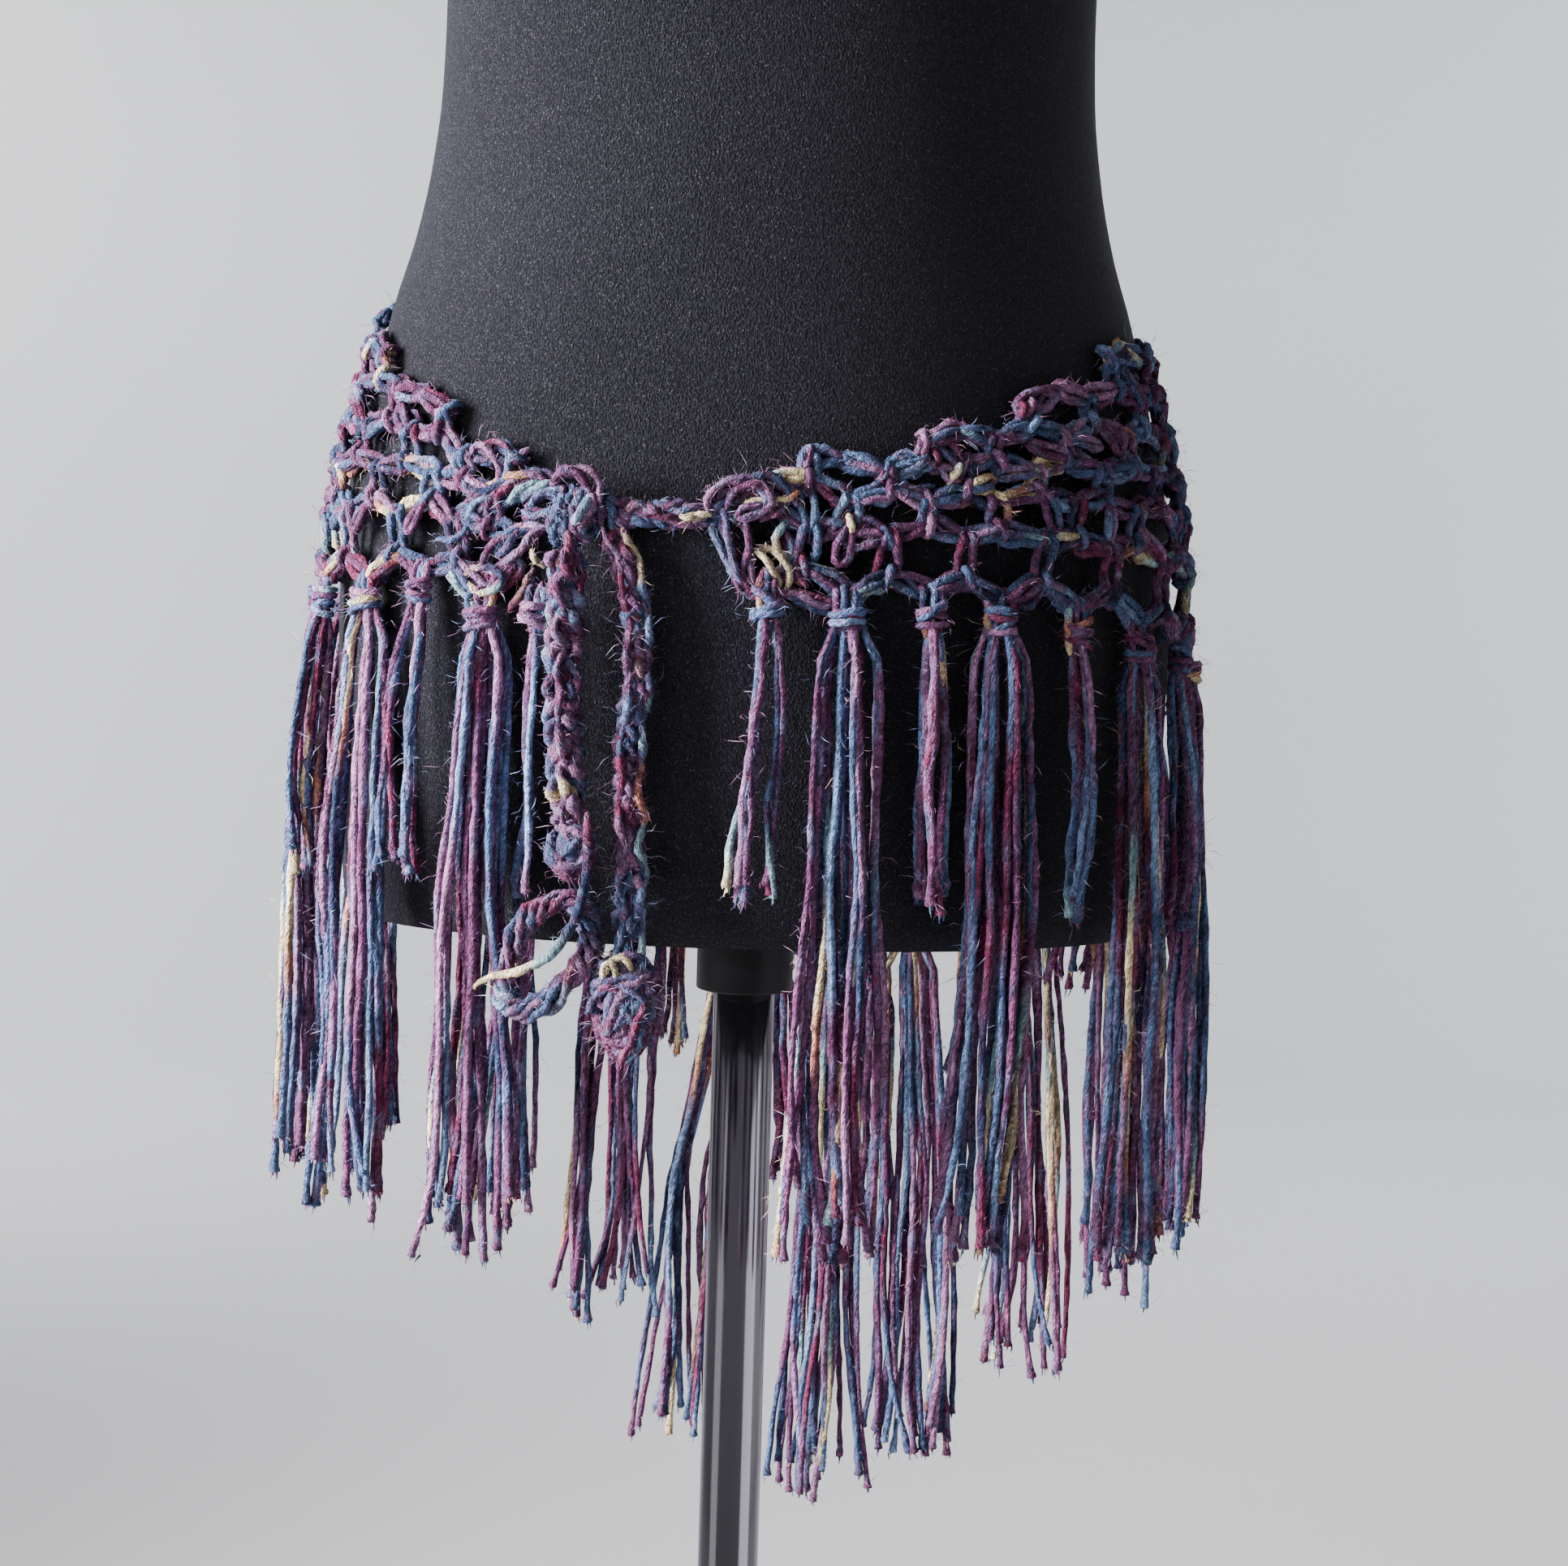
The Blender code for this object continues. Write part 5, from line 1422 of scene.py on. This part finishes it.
def edge_heights(u, reach):
    """Heights of the net's border within reach of a place along it, mm."""
    t = np.linspace(0, 1, 9)[:, None]
    p = np.concatenate([BORDER[a] + (BORDER[b] - BORDER[a]) * t for a, b in OUTER])
    return p[np.abs(p[:, 0] - u) < reach, 1]


BRIDGE_RUNS = (DENIM, PLUM, MAUVE, DENIM, MAUVE, PLUM, MAUVE, DENIM)
# turns of the wrap: place from its middle, tilt, dye
WRAP_TURNS = ((-1.0, 0.16, DENIM), (-0.85, -0.14, SKY), (-0.6, 0.22, DENIM), (-0.35, -0.28, NAVY),
              (-0.1, 0.30, SKY), (0.15, 0.05, DENIM), (0.4, -0.18, PLUM), (0.65, 0.24, SKY),
              (0.9, -0.08, DENIM), (1.08, 0.14, MAUVE))


class BELT_OT_tie(Operator):
    """The braided cord across the front gap and the yarn wound round it at the left"""
    bl_idname = "belt.tie"
    bl_label = "Tie"

    def execute(self, context):
        yarn = Yarn(context, SEEDS["bridge"])
        ends = ((-57.0, -203.5, 5.6), *BRIDGE, (-8.0, -203.0, 6.2))
        braid(yarn, ends, 48, 3.1, 1.5, 21.0, 2.5, BRIDGE_RUNS, fluff=1.6)
        end_strands(yarn, BRIDGE_STRANDS, 1.8)
        yarn.build("tie_bridge_cord", "yarn_plum", ("tie_bridge",))
        wrap = Yarn(context, SEEDS["wrap"])
        rng, rows = wrap.rng, len(WRAP_TURNS)
        a = np.linspace(0, TURN * 0.98, 26)[None, :] + rng.random((rows, 1)) * ROUND
        k, tilt, dyes = zip(*WRAP_TURNS)
        k, tilt = np.array(k)[:, None], np.array(tilt)[:, None]
        tall = 9.6 - 1.5 * k ** 2 + rng.normal(0, 0.9, (rows, 1))
        x = WRAP_AT[0] + 4.9 * k + tall * tilt * np.cos(a) + 0.8 * np.sin(2 * a)
        z = WRAP_AT[1] + 0.6 + tall * np.cos(a)
        o = WRAP_AT[2] + (3.2 + rng.uniform(-0.4, 0.7, (rows, 1))) * np.sin(a)
        wrap.lay(at(x, z, o), 1.8, 6, shade=dyes, fluff=1.8, kink=0.45, lumps=0.25)
        end_strands(wrap, WRAP_STRANDS, 2.0)
        wrap.build("tie_wrap_yarn", "yarn_denim", ("tie_wrap",))
        return {"FINISHED"}


def lathe(name, profile, material, slot, node, sides=96):
    """A turned piece: the profile's radius times cosine and sine of the turn, closed at both poles."""
    z, r = np.array(profile, float).T
    a = np.linspace(0, TURN, sides, endpoint=False)
    ring = np.stack([r[:, None] * np.cos(a), r[:, None] * np.sin(a),
                     np.broadcast_to(z[:, None], (len(z), sides))], -1)
    return closed_rings(name, ring * MM, material, slot, node)


def closed_rings(name, ring, material, slot, node):
    """Rings joined one above the other, and the lowest and highest closed by a fan to their middle."""
    rows, sides = ring.shape[:2]
    grid = np.arange(rows * sides).reshape(rows, sides)
    quads, nxt = ring_faces(grid)
    low, high = rows * sides, rows * sides + 1
    tris = np.concatenate([np.stack([np.full(sides, low), nxt[0], grid[0]], -1),
                           np.stack([np.full(sides, high), grid[-1], nxt[-1]], -1)])
    points = np.vstack([ring.reshape(-1, 3), ring[0].mean(0), ring[-1].mean(0)])
    return place(new_mesh(name, points, quads, tris), name, material_of(material), slot, (node,))


def rounded(profile, radius=1.2, steps=5):
    """A turned profile with its corners rounded: each inner point becomes a short quadratic curve
    between points on the two lines that meet there."""
    p = np.array(profile, float)
    out = [p[:1]]
    for a, b, c in zip(p[:-2], p[1:-1], p[2:]):
        ra, rc = (min(radius, 0.45 * np.linalg.norm(x - b)) for x in (a, c))
        a, c = b + unit(a - b) * ra, b + unit(c - b) * rc
        t = np.linspace(0, 1, steps)[:, None]
        out.append((1 - t) ** 2 * a + 2 * t * (1 - t) * b + t ** 2 * c)
    return np.vstack([*out, p[-1:]])


class BELT_OT_form(Operator):
    """The limbless dress form in black jersey"""
    bl_idname = "belt.form"
    bl_label = "Dress Form"

    def execute(self, context):
        turn = np.linspace(0, TURN, 144, endpoint=False)
        z = np.concatenate([SECTIONS[:-1:3, 0], SECTIONS[-1:, 0]])
        rings = on_form(turn[None, :], z[:, None], 0.0)
        # the lower edge turns in to half its size before it closes
        foot = rings[0] * np.array([0.5, 0.5, 1.0])
        rings = np.concatenate([foot[None], rings])
        closed_rings("form_jersey", rings * MM, "black_jersey", "jersey_black", "dress_form")
        return {"FINISHED"}


class BELT_OT_stand(Operator):
    """Collar, chrome pole and round base"""
    bl_idname = "belt.stand"
    bl_label = "Stand"

    def execute(self, context):
        low, lip, top = RIM_Z - COLLAR_H, RIM_Z - 4.5, RIM_Z - 0.3
        lathe("collar", rounded([(low, POLE_R), (low, COLLAR_R), (lip, COLLAR_R), (lip, COLLAR_R + 0.8),
                                 (top, COLLAR_R + 0.8), (top, 4.0)], 0.8),
              "satin_black", "collar_black", "stand_collar")
        lathe("pole", [(BASE_H + HUB_H + 0.3, POLE_R - 0.3), (BASE_H + HUB_H + 0.8, POLE_R),
                       (RIM_Z - COLLAR_H - 0.6, POLE_R), (RIM_Z - COLLAR_H - 0.3, POLE_R - 0.3)],
              "polished_chrome", "chrome", "stand_pole")
        lathe("base", rounded([(0, 5.0), (0, BASE_R - 1.5), (1.5, BASE_R), (BASE_H - 3.5, BASE_R),
                               (BASE_H - 1.0, BASE_R - 4), (BASE_H + 1.0, HUB_R + 4),
                               (BASE_H + 3.0, HUB_R), (BASE_H + HUB_H - 3, POLE_R + 6),
                               (BASE_H + HUB_H, POLE_R + 3), (BASE_H + HUB_H, 4.0)], 1.5),
              "polished_chrome", "chrome", "stand_base", 128)
        return {"FINISHED"}


class BELT_PT_parts(Panel):
    """Sizes, colours and the pieces in their order"""
    bl_idname = "BELT_PT_parts"
    bl_label = "Hip Belt"
    bl_space_type = "VIEW_3D"
    bl_region_type = "UI"
    bl_category = "Hip Belt"

    def draw(self, context):
        for name in GROUPS:
            group, box = getattr(context.scene, name), self.layout.box()
            for setting in group.__annotations__:
                box.prop(group, setting)
        for piece in PIECES:
            self.layout.operator(piece.bl_idname)


GROUPS = {"belt_yarn": BeltYarn, "belt_dyes": BeltDyes, "belt_stand": BeltStand,
          "belt_stage": BeltStage}
PIECES = (BELT_OT_stage, BELT_OT_tie_tails, BELT_OT_tie, BELT_OT_net, BELT_OT_fringe, BELT_OT_form,
          BELT_OT_stand)


def register():
    for cls in (*GROUPS.values(), *PIECES, BELT_PT_parts):
        bpy.utils.register_class(cls)
    for name, cls in GROUPS.items():
        setattr(bpy.types.Scene, name, PointerProperty(type=cls))


def unregister():
    for name in GROUPS:
        delattr(bpy.types.Scene, name)
    for cls in reversed((*GROUPS.values(), *PIECES, BELT_PT_parts)):
        bpy.utils.unregister_class(cls)


def main():
    register()
    bpy.ops.belt.stage()
    bpy.ops.belt.tie_tails()
    bpy.ops.belt.tie()
    bpy.ops.belt.net()
    bpy.ops.belt.fringe()
    bpy.ops.belt.form()
    bpy.ops.belt.stand()


if __name__ == "__main__":
    main()
